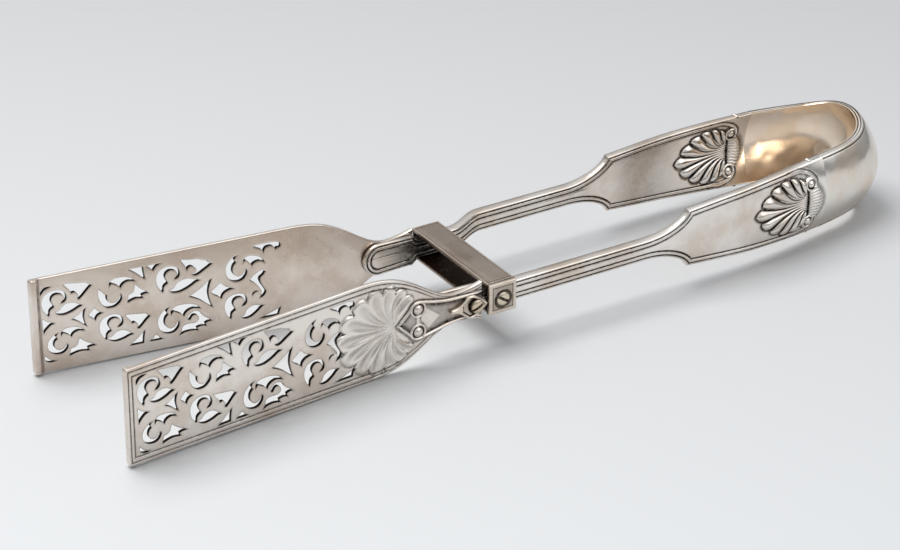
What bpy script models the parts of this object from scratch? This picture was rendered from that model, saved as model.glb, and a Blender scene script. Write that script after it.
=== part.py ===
"""Silver asparagus tongs: two arms sprung from one dished bow, pierced blades and a guide."""

import math

import bmesh
import bpy
from mathutils import Vector

# Lengths along the tongs, in metres
bow_rim_depth = 0.0246
crown_dish = 0.0060
handle_length = 0.0500
stem_length = 0.0599
guide_width = 0.0080
strap_length = 0.0181
tang_clearance = 0.0016
tang_length = 0.0085
heel_length = 0.0300
blade_length = 0.0734

# Distances of the outer faces from the middle plane
tip_spread = 0.0292
near_stem_spread = 0.0225
near_waist_spread = 0.0225
near_bow_spread = 0.0218
far_stem_spread = 0.0208
far_waist_spread = 0.0156
far_bow_spread = 0.0212

# Half widths, measured up and down
stand_half_width = 0.0150
tip_half_width = 0.0145
crown_half_width = 0.0147
bow_end_half_width = 0.0116
shoulder_half_width = 0.0088
stem_half_width = 0.0030
strap_half_width = 0.0044
strap_end_half_width = 0.0050
neck_half_width = 0.0044
tang_end_half_width = 0.0058

# Thicknesses and rounded edges
bow_thickness = 0.0021
handle_thickness = 0.0025
stem_thickness = 0.0031
blade_thickness = 0.0014
edge_round = 0.0005
tip_corner_radius = 0.0008

# Bends and flares of the arms and blades
dish_length = 0.0320
arm_end_dish = 0.0032
handle_bulge = 0.0004
shoulder_flare = 0.0150
strap_flare = 0.0022
joggle_length = 0.0130
joggle_setback = 0.0028
near_bend_setback = 0.0375
far_bend_setback = 0.0185
bend_softness = 0.0060

# Guide across both arms
guide_plate_thickness = 0.0013
near_end_thickness = 0.0015
far_end_thickness = 0.0011
slide_clearance = 0.0003
seat_gap = 0.0003
guide_edge_round = 0.0003
panel_margin = 0.0009
panel_depth = 0.0003

# Screws and the leaf plates under the tang screws
screw_head_radius = 0.0021
screw_head_height = 0.0010
screw_edge_height = 0.0003
screw_shank_radius = 0.0010
screw_hole_clearance = 0.0003
screw_slot_width = 0.0006
screw_slot_depth = 0.0005
guide_screw_grip = 0.0018
leaf_length = 0.0118
leaf_half_width = 0.0037
leaf_thickness = 0.0012
tang_screw_setback = 0.0022
head_recess_clearance = 0.0005
leaf_recess_depth = 0.0005
guide_recess_depth = 0.0008
cut_overrun = 0.0010
merge_distance = 0.000003

# Scrollwork cut through the blades
scroll_size = 0.0100

# Struck shells on the handles and heels
handle_shell_length = 0.0187
handle_shell_root_half_width = 0.0040
handle_shell_height = 0.0008
handle_shell_setback = 0.0070
heel_shell_length = 0.0200
heel_shell_root_half_width = 0.0012
heel_shell_height = 0.0006
heel_shell_setback = 0.0180
shell_sink = 0.0004

# Shares that shape the curves
dish_power_share = 1.4
bow_slope_share = 0.17
bow_start_pull_share = 0.65
bow_crown_pull_share = 0.65
bow_width_power_share = 1.7
flare_power_share = 0.62
heel_power_share = 1.5
end_round_share = 0.3
handle_shell_end_share = 0.34
heel_shell_end_share = 0.52
shell_notch_share = 0.09
shell_sweep_share = 1.3
shell_valley_share = 0.35
shell_row_shares = ((0.02, 0.45), (0.35, 0.70), (0.65, 0.90), (0.88, 1.00), (1.00, 0.45))
across_arm_shares = (-0.6, 0.0, 0.6)
across_bow_shares = (-0.8, -0.6, -0.4, -0.2, 0.0, 0.2, 0.4, 0.6, 0.8)
leaf_outline_shares = (
    (0.00, 0.00), (0.03, 0.16), (0.10, 0.22), (0.20, 0.30), (0.32, 0.48), (0.42, 0.78),
    (0.48, 1.00), (0.60, 1.00), (0.72, 0.90), (0.84, 0.64), (0.94, 0.28), (1.00, 0.00),
)

# Outlines of the openings, as shares of the scroll size about each one's middle
c_scroll_shares = (
    (-0.16, -0.38), (-0.24, -0.27), (-0.31, -0.14), (-0.34, 0.02), (-0.32, 0.16), (-0.25, 0.28),
    (-0.14, 0.35), (-0.01, 0.38), (0.13, 0.37), (0.24, 0.32), (0.31, 0.24), (0.34, 0.14),
    (0.33, 0.05), (0.27, -0.02), (0.16, -0.04), (0.21, 0.02), (0.26, 0.08), (0.26, 0.17),
    (0.20, 0.23), (0.09, 0.26), (-0.01, 0.23), (-0.07, 0.15), (-0.08, 0.06), (-0.04, -0.04),
    (0.00, -0.12), (-0.08, -0.16), (-0.13, -0.23), (-0.14, -0.32),
)
u_scroll_shares = (
    (-0.31, 0.32), (-0.34, 0.20), (-0.33, 0.07), (-0.29, -0.06), (-0.23, -0.17), (-0.16, -0.25),
    (-0.08, -0.30), (0.02, -0.31), (0.12, -0.30), (0.21, -0.25), (0.29, -0.17), (0.33, -0.08),
    (0.32, 0.01), (0.29, 0.07), (0.26, -0.03), (0.21, -0.13), (0.13, -0.17), (0.04, -0.15),
    (-0.02, -0.07), (-0.07, 0.05), (-0.11, 0.13), (-0.17, 0.20), (-0.24, 0.27),
)
leaf_scroll_shares = (
    (-0.45, -0.06), (-0.40, -0.14), (-0.28, -0.18), (-0.12, -0.18), (0.04, -0.13), (0.19, -0.06),
    (0.32, 0.02), (0.46, 0.07), (0.28, 0.12), (0.10, 0.18), (-0.07, 0.17), (-0.22, 0.10),
    (-0.30, -0.01), (-0.37, -0.06),
)
wing_shares = (
    (-0.46, 0.29), (-0.39, 0.18), (-0.32, 0.06), (-0.28, -0.10), (-0.24, -0.02), (-0.17, 0.02),
    (-0.09, 0.00), (-0.02, -0.07), (0.01, -0.15), (-0.04, -0.21), (-0.15, -0.21), (-0.09, -0.27),
    (-0.01, -0.29), (0.10, -0.25), (0.21, -0.18), (0.33, -0.11), (0.47, -0.02), (0.35, 0.03),
    (0.31, 0.10), (0.17, 0.14), (0.04, 0.20), (-0.11, 0.22), (-0.27, 0.24),
)
crown_shares = (
    (-0.40, -0.09), (-0.40, 0.02), (-0.35, 0.09), (-0.24, 0.14), (-0.08, 0.15), (0.08, 0.14),
    (0.23, 0.09), (0.39, 0.01), (0.28, 0.02), (0.18, -0.01), (0.12, -0.08), (0.10, -0.16),
    (-0.01, -0.14), (-0.13, -0.11), (-0.21, -0.08), (-0.26, -0.01), (-0.32, 0.02), (-0.36, -0.03),
)
fish_shares = (
    (-0.32, -0.27), (-0.20, -0.21), (-0.08, -0.18), (0.04, -0.20), (0.17, -0.23), (0.12, -0.14),
    (0.20, -0.09), (0.32, -0.07), (0.22, 0.01), (0.11, 0.11), (0.01, 0.20), (-0.12, 0.27),
    (-0.15, 0.16), (-0.22, 0.08), (-0.30, 0.00), (-0.27, -0.12),
)
star_left_shares = (
    (-0.35, 0.04), (-0.17, 0.13), (0.01, 0.25), (0.18, 0.40), (0.33, 0.52), (0.27, 0.33),
    (0.23, 0.16), (0.22, -0.02), (0.25, -0.22), (0.29, -0.37), (0.35, -0.52), (0.18, -0.35),
    (0.02, -0.19), (-0.16, -0.06),
)
star_right_shares = (
    (-0.34, 0.03), (-0.20, 0.13), (-0.03, 0.27), (0.10, 0.13), (0.23, 0.06), (0.39, 0.00),
    (0.25, -0.02), (0.12, -0.07), (0.03, -0.16), (0.00, -0.27), (-0.08, -0.18), (-0.20, -0.10),
)
sail_shares = ((-0.24, 0.15), (0.18, 0.15), (0.19, 0.00), (0.23, -0.26), (0.11, -0.14), (-0.04, 0.00))
fin_shares = ((-0.21, 0.07), (0.01, 0.08), (0.25, 0.08), (0.10, 0.01), (0.00, -0.11), (-0.08, -0.02))
half_star_shares = (
    (-0.17, 0.23), (-0.06, 0.13), (0.06, 0.07), (0.20, 0.03), (0.07, -0.01), (-0.04, -0.10),
    (-0.11, -0.18), (-0.15, -0.25),
)
crescent_shares = (
    (-0.16, -0.13), (-0.16, -0.01), (-0.10, 0.07), (0.02, 0.11), (0.18, 0.09), (0.03, 0.05),
    (-0.05, 0.01), (-0.10, -0.05),
)
shell_star_shares = (
    (-0.26, 0.19), (-0.16, 0.31), (-0.04, 0.40), (0.11, 0.47), (0.21, 0.39), (0.14, 0.30),
    (0.06, 0.23), (0.05, 0.11), (0.10, -0.03), (0.17, -0.16), (0.22, -0.26), (0.16, -0.38),
    (0.01, -0.46), (0.07, -0.33), (0.07, -0.20), (0.00, -0.06), (-0.09, 0.06), (-0.18, 0.14),
)

# Places of the openings from the tip of the blade, as shares of the scroll size: outline,
# distance along, level, width, height (less than zero turns it over) and turn in degrees
opening_place_shares = (
    (c_scroll_shares, 0.67, 0.62, 1.03, 1.00, 0),
    (c_scroll_shares, 2.23, -0.46, 1.00, 1.00, 0),
    (c_scroll_shares, 3.89, 0.66, 1.00, 1.00, 0),
    (c_scroll_shares, 5.81, -0.60, 0.97, 1.00, 0),
    (u_scroll_shares, 0.72, -0.68, 1.00, 1.00, 0),
    (u_scroll_shares, 2.24, 0.45, 1.00, 1.00, 0),
    (u_scroll_shares, 3.88, -0.70, 1.00, 1.00, 0),
    (u_scroll_shares, 5.86, 0.47, 1.00, 1.05, 0),
    (leaf_scroll_shares, 1.08, 0.39, 0.85, 1.00, 0),
    (leaf_scroll_shares, 2.47, -0.74, 0.85, 1.00, 0),
    (leaf_scroll_shares, 4.36, 0.38, 1.00, 1.00, 0),
    (leaf_scroll_shares, 6.28, -0.81, 0.78, 0.95, 15),
    (wing_shares, 1.34, 0.87, 0.97, 1.00, 8),
    (wing_shares, 2.95, -0.38, 0.80, 0.90, 5),
    (wing_shares, 4.71, 0.90, 1.00, 1.00, 0),
    (crown_shares, 1.05, -0.36, 0.92, 1.00, 0),
    (crown_shares, 2.52, 0.84, 1.00, 1.00, 0),
    (crown_shares, 4.37, -0.38, 1.10, 1.10, 0),
    (crown_shares, 6.37, 0.70, 0.92, 1.10, -18),
    (fish_shares, 1.44, -0.84, 1.15, 1.00, 0),
    (fish_shares, 3.02, 0.44, 1.00, 1.00, 0),
    (fish_shares, 4.64, -0.86, 1.50, 1.00, 0),
    (star_left_shares, 1.34, 0.00, 0.62, 0.58, 0),
    (star_right_shares, 1.80, 0.03, 0.58, 0.75, 0),
    (star_left_shares, 4.81, -0.04, 1.00, 0.90, 0),
    (star_right_shares, 5.41, -0.03, 0.95, 0.95, 0),
    (sail_shares, 3.02, 1.05, 1.00, 1.00, 0),
    (sail_shares, 2.95, -1.01, 1.00, -1.00, 0),
    (sail_shares, 6.79, -1.06, 1.50, -0.60, 0),
    (fin_shares, 3.48, 1.12, 1.00, 1.00, 0),
    (fin_shares, 3.48, -1.08, 1.00, -1.00, 0),
    (half_star_shares, 0.48, -0.02, 1.00, 1.00, 0),
    (crescent_shares, 0.46, 1.05, 1.00, 1.00, 0),
    (crescent_shares, 0.48, -1.06, 1.00, -1.00, 0),
    (crescent_shares, 6.84, 1.00, 1.00, 1.00, 0),
    (crescent_shares, 6.39, -0.31, 0.60, 0.60, 0),
    (shell_star_shares, 6.49, -0.07, 1.00, 0.95, 0),
)

# Turns of the driver slots about the screws, in radians
guide_slot_turn = math.radians(33)
tang_slot_turn = math.radians(-25)

# Half angles over which the shells' lobes fan out, in radians
handle_shell_spread = math.radians(82)
heel_shell_spread = math.radians(105)

# Where a screw's dome starts beside its flat top, and the turn past which an edge looks sharp
dome_start_angle = math.radians(15)
sharp_angle = math.radians(30)

# Counts
handle_shell_lobes = 11
heel_shell_lobes = 13
lobe_steps = 3
circle_sides = 20
bow_steps = 18
handle_steps = 10
flare_steps = 9
joggle_steps = 8
strap_steps = 6
heel_steps = 16
tang_steps = 4
bend_steps = 4
corner_steps = 4
dome_steps = 5

# Places along the tongs, from the joint of the arms and the bow
shoulder_x = -handle_length
guide_right_x = shoulder_x - stem_length
guide_left_x = guide_right_x - guide_width
guide_x = (guide_right_x + guide_left_x) / 2
strap_end_x = guide_left_x - strap_length
tang_end_x = guide_left_x - tang_clearance
tang_screw_x = tang_end_x - tang_screw_setback
neck_x = tang_end_x - tang_length
heel_x = neck_x - heel_length
tip_x = heel_x - blade_length
crown_x = bow_rim_depth + crown_dish
middle_x = (tip_x + crown_x) / 2
hinge_x = bow_rim_depth * 2 / math.pi
joggle_start_x = guide_right_x + joggle_setback + joggle_length

# Levels and thicknesses that follow from the pieces beside them
strap_sink = blade_thickness + seat_gap
guide_inner_half_height = stem_half_width + slide_clearance
guide_outer_half_height = guide_inner_half_height + guide_plate_thickness
near_end_inner_y = -near_waist_spread - seat_gap
near_end_outer_y = near_end_inner_y - near_end_thickness
far_end_inner_y = far_waist_spread + slide_clearance
far_end_outer_y = far_end_inner_y + far_end_thickness
head_recess_radius = screw_head_radius + head_recess_clearance
screw_hole_radius = screw_shank_radius + screw_hole_clearance

SIDES = {
    "near": {
        "sign": -1,
        "stem": near_stem_spread,
        "waist": near_waist_spread,
        "bow": near_bow_spread,
        "bend": guide_left_x - near_bend_setback,
    },
    "far": {
        "sign": 1,
        "stem": far_stem_spread,
        "waist": far_waist_spread,
        "bow": far_bow_spread,
        "bend": guide_left_x - far_bend_setback,
    },
}


def ease(value):
    """Smooth step from 0 to 1, level at both ends."""
    t = max(0.0, min(1.0, value))
    return t * t * (3 - 2 * t)


def spaced(start, end, steps):
    return [start + (end - start) * i / steps for i in range(steps + 1)]


def soft_hinge(distance):
    """Distance past a bend, rounded over the bend itself."""
    if distance >= bend_softness:
        return distance
    return max(0.0, distance + bend_softness) ** 2 / (4 * bend_softness)


def dish_share(x):
    """How far the hollow of the bow has run out into the arm at x."""
    return max(0.0, 1 + x / dish_length) ** dish_power_share


def outer_face(side, x):
    """Distance of the outer face's middle line from the middle plane at x."""
    place = SIDES[side]
    joggle = ease((joggle_start_x - x) / joggle_length)
    spread = place["stem"] + (place["waist"] - place["stem"]) * joggle
    spread += (place["bow"] - place["stem"]) * dish_share(x)
    lean = (tip_spread - place["waist"]) / soft_hinge(place["bend"] - tip_x)
    return spread + lean * soft_hinge(place["bend"] - x)


def arm_half_width(x):
    """Half width of an arm, from the round strap end to the bow."""
    if x >= shoulder_x:
        share = (x - shoulder_x) / handle_length
        wide = shoulder_half_width + (bow_end_half_width - shoulder_half_width) * share
        return wide + handle_bulge * math.sin(math.pi * share)
    if x >= guide_left_x:
        share = max(0.0, 1 - (shoulder_x - x) / shoulder_flare)
        curve = 1 - (1 - share**2) ** flare_power_share
        return stem_half_width + (shoulder_half_width - stem_half_width) * curve
    flare = ease((guide_left_x - seat_gap - x) / strap_flare)
    run = (guide_left_x - x) / strap_length
    strap = strap_half_width + (strap_end_half_width - strap_half_width) * run
    reach = max(0.0, 1 - (x - strap_end_x) / strap_end_half_width)
    return (stem_half_width + (strap - stem_half_width) * flare) * math.sqrt(1 - reach**2)


def arm_thickness(x):
    flare = ease(1 - (shoulder_x - x) / shoulder_flare)
    return stem_thickness + (handle_thickness - stem_thickness) * flare


def strip_section(half_width, thickness, shares):
    """Points (share across, level, depth) round a strip's section, with its edges eased."""
    round_off = min(edge_round, thickness * end_round_share, half_width * end_round_share)
    inset = 1 - round_off / half_width
    levels = [-1, -inset] + [share * inset for share in shares] + [inset, 1]
    outer = [(level, round_off if abs(level) == 1 else 0.0) for level in levels]
    inner = [(level, thickness - depth) for level, depth in reversed(outer)]
    return [(level, level * half_width, depth) for level, depth in outer + inner]


def solid_from_rings(name, rings):
    """Closed mesh through rings of points; each end is closed by faces across its ring."""
    shape = bmesh.new()
    loops = [[shape.verts.new(point) for point in ring] for ring in rings]
    for one, two in zip(loops, loops[1:]):
        for i, vert in enumerate(one):
            shape.faces.new((one[i - 1], vert, two[i], two[i - 1]))
    for end in (loops[0], loops[-1]):
        for i in range(len(end) // 2 - 1):
            shape.faces.new((end[i], end[i + 1], end[-i - 2], end[-i - 1]))
    bmesh.ops.recalc_face_normals(shape, faces=shape.faces)
    mesh = bpy.data.meshes.new(name)
    shape.to_mesh(mesh)
    shape.free()
    return mesh


def arm_stations():
    """Places along an arm where its section is drawn."""
    round_end = [
        strap_end_x + strap_end_half_width * (1 - math.cos(angle))
        for angle in spaced(math.pi / strap_steps / 2, math.pi / 2, strap_steps)
    ]
    stations = round_end
    stations += spaced(tang_end_x - strap_flare, tang_end_x, 2)
    stations += [tang_end_x + seat_gap, tang_end_x + seat_gap * 2, guide_left_x - seat_gap]
    stations += spaced(joggle_start_x - joggle_length, joggle_start_x, joggle_steps)
    stations += spaced(shoulder_x - shoulder_flare, shoulder_x, flare_steps)
    stations += spaced(shoulder_x, 0.0, handle_steps)[1:]
    return sorted(stations)


def arm_mesh(side):
    """One arm: lap strap, stem, flared shoulders and the handle that runs into the bow."""
    sign = SIDES[side]["sign"]
    rings = []
    for x in arm_stations():
        half_width = arm_half_width(x)
        face = outer_face(side, x)
        thickness = arm_thickness(x)
        if x <= tang_end_x + seat_gap:
            face -= strap_sink
            thickness -= strap_sink
        dish = arm_end_dish * dish_share(x)
        rings.append([
            (x, sign * (face - depth - dish * share**2), height)
            for share, height, depth in strip_section(half_width, thickness, across_arm_shares)
        ])
    return solid_from_rings(side + "_arm", rings)


def bow_rim_point(side, share):
    """Point and outward direction of the bow's rim, from the arm (0) to the crown (1)."""
    place = SIDES[side]
    rim_spread = place["bow"] - arm_end_dish
    pull = bow_rim_depth * bow_start_pull_share
    points = (
        Vector((seat_gap, rim_spread)),
        Vector((seat_gap + pull, rim_spread - pull * bow_slope_share)),
        Vector((bow_rim_depth, rim_spread * bow_crown_pull_share)),
        Vector((bow_rim_depth, 0.0)),
    )
    rest = 1 - share
    weights = (rest**3, 3 * rest**2 * share, 3 * rest * share**2, share**3)
    point = sum((p * w for p, w in zip(points, weights)), Vector((0.0, 0.0)))
    steps = (rest**2, 2 * rest * share, share**2)
    along = sum(((b - a) * w for a, b, w in zip(points, points[1:], steps)), Vector((0.0, 0.0)))
    outward = Vector((-along.y, along.x)).normalized()
    outward = Vector((0.0, 1.0)).lerp(outward, ease(share / end_round_share)).normalized()
    return point, outward


def bow_mesh():
    """The spring bow: a wide strip bent round in plan and dished outwards across its width."""
    stops = [("near", i / bow_steps) for i in range(bow_steps)] + [("far", 1.0)]
    stops += [("far", i / bow_steps) for i in reversed(range(bow_steps))]
    rings = []
    for side, share in stops:
        sign = SIDES[side]["sign"]
        rim, outward = bow_rim_point(side, share)
        wave = math.sin(math.pi / 2 * share**bow_width_power_share) ** 2
        wider = (crown_half_width - bow_end_half_width) * wave
        dish = arm_end_dish + (crown_dish - arm_end_dish) * ease(share)
        section = strip_section(bow_end_half_width + wider, bow_thickness, across_bow_shares)
        ring = []
        for across, height, depth in section:
            spot = rim + outward * (dish * (1 - across**2) - depth)
            ring.append((spot.x, sign * spot.y, height))
        rings.append(ring)
    return solid_from_rings("bow", rings)


def blade_half_width(x):
    """Half width of a blade: long field, heel curve, neck and fishtail tang."""
    if x <= heel_x:
        share = (heel_x - x) / blade_length
        return stand_half_width + (tip_half_width - stand_half_width) * share
    if x <= neck_x:
        share = (x - heel_x) / heel_length
        curve = (1 + math.cos(math.pi * share**heel_power_share)) / 2
        return neck_half_width + (stand_half_width - neck_half_width) * curve
    share = (x - neck_x) / tang_length
    return neck_half_width + (tang_end_half_width - neck_half_width) * share**2


def circle(radius, centre=(0.0, 0.0)):
    """Points round a circle, set half a step off its axes."""
    half_step = math.pi / circle_sides
    angles = spaced(half_step, 2 * math.pi + half_step, circle_sides)[:-1]
    return [(centre[0] + radius * math.cos(a), centre[1] + radius * math.sin(a)) for a in angles]


def blade_outline():
    """Outline of a blade in its own plane, anticlockwise from the lower tip corner."""
    stations = spaced(heel_x, neck_x, heel_steps) + spaced(neck_x, tang_end_x, tang_steps)[1:]
    corner = [
        (tip_x + tip_corner_radius * (1 - math.sin(a)), tip_corner_radius * (1 - math.cos(a)))
        for a in spaced(math.pi / 2, 0.0, corner_steps)
    ]
    lower = [(x, drop - tip_half_width) for x, drop in corner]
    lower += [(x, -blade_half_width(x)) for x in stations]
    return lower + [(x, -y) for x, y in reversed(lower)]


def blade_openings():
    """The scrollwork: each outline at its place, from the tip of the blade inwards."""
    openings = []
    for outline, along, level, wide, tall, turn in opening_place_shares:
        cos, sin = math.cos(math.radians(turn)), math.sin(math.radians(turn))
        loop = []
        for share_x, share_y in outline:
            x, y = share_x * wide, share_y * tall
            shift_x = along + x * cos - y * sin
            shift_y = level + x * sin + y * cos
            loop.append((tip_x + shift_x * scroll_size, shift_y * scroll_size))
        openings.append(loop)
    return openings


def plate_mesh(name, outlines, thickness):
    """Flat plate from a closed outline and its openings, depth 0 to thickness along Y."""
    curve = bpy.data.curves.new(name, "CURVE")
    curve.dimensions = "2D"
    curve.fill_mode = "BOTH"
    curve.extrude = thickness / 2
    for outline in outlines:
        spline = curve.splines.new("POLY")
        spline.points.add(len(outline) - 1)
        spline.use_cyclic_u = True
        for point, (x, y) in zip(spline.points, outline):
            point.co = (x, y, 0.0, 1.0)
    shape = bpy.data.objects.new(name, curve)
    mesh = bpy.data.meshes.new_from_object(shape)
    bpy.data.objects.remove(shape)
    bpy.data.curves.remove(curve)
    for vert in mesh.vertices:
        x, y, z = vert.co
        vert.co = (x, thickness / 2 - z, y)
    clean = bmesh.new()
    clean.from_mesh(mesh)
    bmesh.ops.remove_doubles(clean, verts=clean.verts, dist=merge_distance)
    bmesh.ops.recalc_face_normals(clean, faces=clean.faces)
    clean.to_mesh(mesh)
    clean.free()
    return mesh


def blade_mesh(side):
    """One blade, bent out from its tang so that the pair opens towards the tips."""
    outlines = [blade_outline(), circle(screw_hole_radius, (tang_screw_x, 0.0))]
    outlines += blade_openings()
    mesh = plate_mesh(side + "_blade", outlines, blade_thickness)
    sign = SIDES[side]["sign"]
    bend = SIDES[side]["bend"]
    shape = bmesh.new()
    shape.from_mesh(mesh)
    bend_stations = spaced(bend - bend_softness, bend + bend_softness, bend_steps)
    for x in bend_stations + [strap_end_x - seat_gap]:
        parts = shape.verts[:] + shape.edges[:] + shape.faces[:]
        bmesh.ops.bisect_plane(
            shape, geom=parts, dist=merge_distance, plane_co=(x, 0.0, 0.0), plane_no=(1.0, 0.0, 0.0)
        )
    for vert in shape.verts:
        x, depth, height = vert.co
        vert.co = (x, sign * (outer_face(side, x) - depth), height)
    if sign > 0:
        bmesh.ops.reverse_faces(shape, faces=shape.faces)
    shape.to_mesh(mesh)
    shape.free()
    return mesh


def leaf_outline():
    """Leaf with a bud at one end, concave flanks, two corners and a point at the other."""
    upper = [
        ((share_x - 1) * leaf_length, share_y * leaf_half_width)
        for share_x, share_y in leaf_outline_shares
    ]
    return upper + [(x, -y) for x, y in reversed(upper[1:-1])]


def block_mesh(name, size, round_off):
    """Box with eased edges, centred on its origin."""
    shape = bmesh.new()
    bmesh.ops.create_cube(shape, size=1.0)
    bmesh.ops.scale(shape, vec=size, verts=shape.verts)
    bmesh.ops.bevel(shape, geom=shape.edges[:], offset=round_off, segments=1, affect="EDGES")
    mesh = bpy.data.meshes.new(name)
    shape.to_mesh(mesh)
    shape.free()
    return mesh


def shell_mesh(name, root_x, lobes, length, end_share, root_half_width, spread, height, on_face):
    """Scallop shell whose lobes fan out towards the tips; on_face places (x, level, rise)."""
    rows = []
    steps = lobes * lobe_steps
    for reach, crest in shell_row_shares:
        row = []
        for i in range(steps + 1):
            side = 2 * i / steps - 1
            across = 2 * (i % lobe_steps) / lobe_steps - 1
            radius = length * (1 - (1 - end_share) * abs(side)) * (1 - shell_notch_share * across**2)
            x = root_x - reach * radius * math.cos(side * spread)
            level = reach**shell_sweep_share * radius * math.sin(side * spread)
            level += (1 - reach) * root_half_width * side
            rib = 1 - (1 - shell_valley_share) * across**2
            row.append((x, level, height * crest * rib))
        rows.append(row)
    top = [[on_face(*point) for point in row] for row in rows]
    under = [[on_face(x, level, -shell_sink) for x, level, _ in row] for row in rows]
    rings = [[*top[k], *reversed(under[k])] for k in range(len(rows))]
    return solid_from_rings(name, rings)


def add_handle_shells(arm, side):
    """A shell on the outer and on the inner face of the handle, where it meets the bow."""
    sign = SIDES[side]["sign"]

    def outer(x, level, rise):
        dish = arm_end_dish * dish_share(x) * (level / arm_half_width(x)) ** 2
        return (x, sign * (outer_face(side, x) - dish + rise), level)

    def inner(x, level, rise):
        x, y, level = outer(x, level, -rise)
        return (x, y - sign * arm_thickness(x), level)

    for name, on_face in ((side + "_outer_shell", outer), (side + "_inner_shell", inner)):
        shell = shell_mesh(
            name, -handle_shell_setback, handle_shell_lobes, handle_shell_length, handle_shell_end_share,
            handle_shell_root_half_width, handle_shell_spread, handle_shell_height, on_face,
        )
        shape_with(arm, shell, (0.0, 0.0, 0.0), "UNION")


def add_heel_shell(blade, side):
    """A broad shell on the outer face of the blade's heel."""
    sign = SIDES[side]["sign"]

    def outer(x, level, rise):
        return (x, sign * (outer_face(side, x) + rise), level)

    shell = shell_mesh(
        side + "_heel_shell", neck_x - heel_shell_setback, heel_shell_lobes, heel_shell_length,
        heel_shell_end_share, heel_shell_root_half_width, heel_shell_spread, heel_shell_height, outer,
    )
    shape_with(blade, shell, (0.0, 0.0, 0.0), "UNION")


def turned_mesh(name, profile):
    """Solid turned about the Y axis from (radius, depth) points, front first."""
    rings = [[(x, depth, z) for x, z in circle(radius)] for radius, depth in profile]
    return solid_from_rings(name, rings)


def screw_mesh(name, shank_length):
    """Domed head above depth 0 with its shank below; Y points into the work."""
    crown = screw_head_height - screw_edge_height
    profile = [
        (screw_head_radius * math.sin(a), -screw_edge_height - crown * math.cos(a))
        for a in spaced(dome_start_angle, math.pi / 2, dome_steps)
    ]
    profile += [(screw_head_radius, 0.0), (screw_shank_radius, 0.0)]
    profile.append((screw_shank_radius, shank_length))
    return turned_mesh(name, profile)


def make_material(name, colour, roughness, metallic):
    material = bpy.data.materials.new(name)
    material.use_nodes = True
    shader = material.node_tree.nodes["Principled BSDF"]
    shader.inputs["Base Color"].default_value = (*colour, 1.0)
    shader.inputs["Roughness"].default_value = roughness
    shader.inputs["Metallic"].default_value = metallic
    return material


def add_piece(mesh, material, parent, place):
    """Object for one piece, at a place in the tongs' frame, carried by its side's empty."""
    piece = bpy.data.objects.new(mesh.name, mesh)
    bpy.context.scene.collection.objects.link(piece)
    piece.parent = parent
    piece.location = Vector(place) - parent.location
    mesh.materials.append(material)
    mesh.shade_smooth()
    mesh.set_sharp_from_angle(angle=sharp_angle)
    return piece


def add_carrier(name, x):
    """Empty that carries one side of the tongs, on the middle plane at x."""
    carrier = bpy.data.objects.new(name, None)
    bpy.context.scene.collection.objects.link(carrier)
    carrier.location = (x - middle_x, 0.0, stand_half_width)
    return carrier


def shape_with(target, mesh, place, operation, turn=0.0):
    """Cuts a shape out of a piece or joins it on, at a place in the piece's own frame."""
    cutter = bpy.data.objects.new(mesh.name, mesh)
    bpy.context.scene.collection.objects.link(cutter)
    cutter.parent = target
    cutter.location = place
    cutter.rotation_euler = (0.0, turn, 0.0)
    cutter.hide_render = True
    cutter.display_type = "WIRE"
    step = target.modifiers.new(mesh.name, "BOOLEAN")
    step.operation = operation
    step.object = cutter


def drill(target, radius, x, start_y, end_y):
    """Round hole along Y between two depths, on the middle line."""
    mesh = turned_mesh(target.name + "_drill", [(radius, start_y), (radius, end_y)])
    shape_with(target, mesh, (x, 0.0, 0.0), "DIFFERENCE")


def add_guide(origin, carrier, silver, aged):
    """Four plates that box both arms in, and the screw that holds them to the near arm."""
    span = far_end_outer_y + near_waist_spread
    middle_y = (far_end_outer_y - near_waist_spread) / 2
    level = guide_inner_half_height + guide_plate_thickness / 2
    for name, height in (("guide_top_plate", level), ("guide_bottom_plate", -level)):
        size = (guide_width, span, guide_plate_thickness)
        mesh = block_mesh(name, size, guide_edge_round)
        add_piece(mesh, aged, carrier, origin + Vector((guide_x, middle_y, height)))

    size = (guide_width, far_end_thickness, (guide_inner_half_height - seat_gap) * 2)
    mesh = block_mesh("guide_far_end", size, guide_edge_round)
    far_y = far_end_inner_y + far_end_thickness / 2
    add_piece(mesh, aged, carrier, origin + Vector((guide_x, far_y, 0.0)))

    size = (guide_width, near_end_thickness, guide_outer_half_height * 2)
    mesh = block_mesh("guide_near_end", size, guide_edge_round)
    near_y = near_end_inner_y - near_end_thickness / 2
    near_end = add_piece(mesh, silver, carrier, origin + Vector((guide_x, near_y, 0.0)))
    face_y = -near_end_thickness / 2
    panel_cut = (size[0] - panel_margin * 2, panel_depth + cut_overrun, size[2] - panel_margin * 2)
    panel = block_mesh("guide_panel_cut", panel_cut, guide_edge_round)
    panel_y = face_y + (panel_depth - cut_overrun) / 2
    shape_with(near_end, panel, (0.0, panel_y, 0.0), "DIFFERENCE")
    drill(near_end, head_recess_radius, 0.0, face_y - cut_overrun, face_y + guide_recess_depth)
    drill(near_end, screw_hole_radius, 0.0, face_y - cut_overrun, near_end_thickness)

    seat_y = near_end_outer_y + guide_recess_depth - seat_gap
    shank = -near_waist_spread - seat_y + guide_screw_grip
    place = origin + Vector((guide_x, seat_y, 0.0))
    screw = add_piece(screw_mesh("guide_screw", shank), silver, carrier, place)
    cut_slot(screw, guide_slot_turn)


def cut_slot(screw, turn):
    """Driver slot across a screw's domed head."""
    size = (screw_head_radius * 2 + cut_overrun, screw_slot_depth + cut_overrun, screw_slot_width)
    mesh = block_mesh(screw.name + "_slot", size, screw_slot_width * end_round_share)
    slot_y = (screw_slot_depth - cut_overrun) / 2 - screw_head_height
    shape_with(screw, mesh, (0.0, slot_y, 0.0), "DIFFERENCE", turn)


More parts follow.
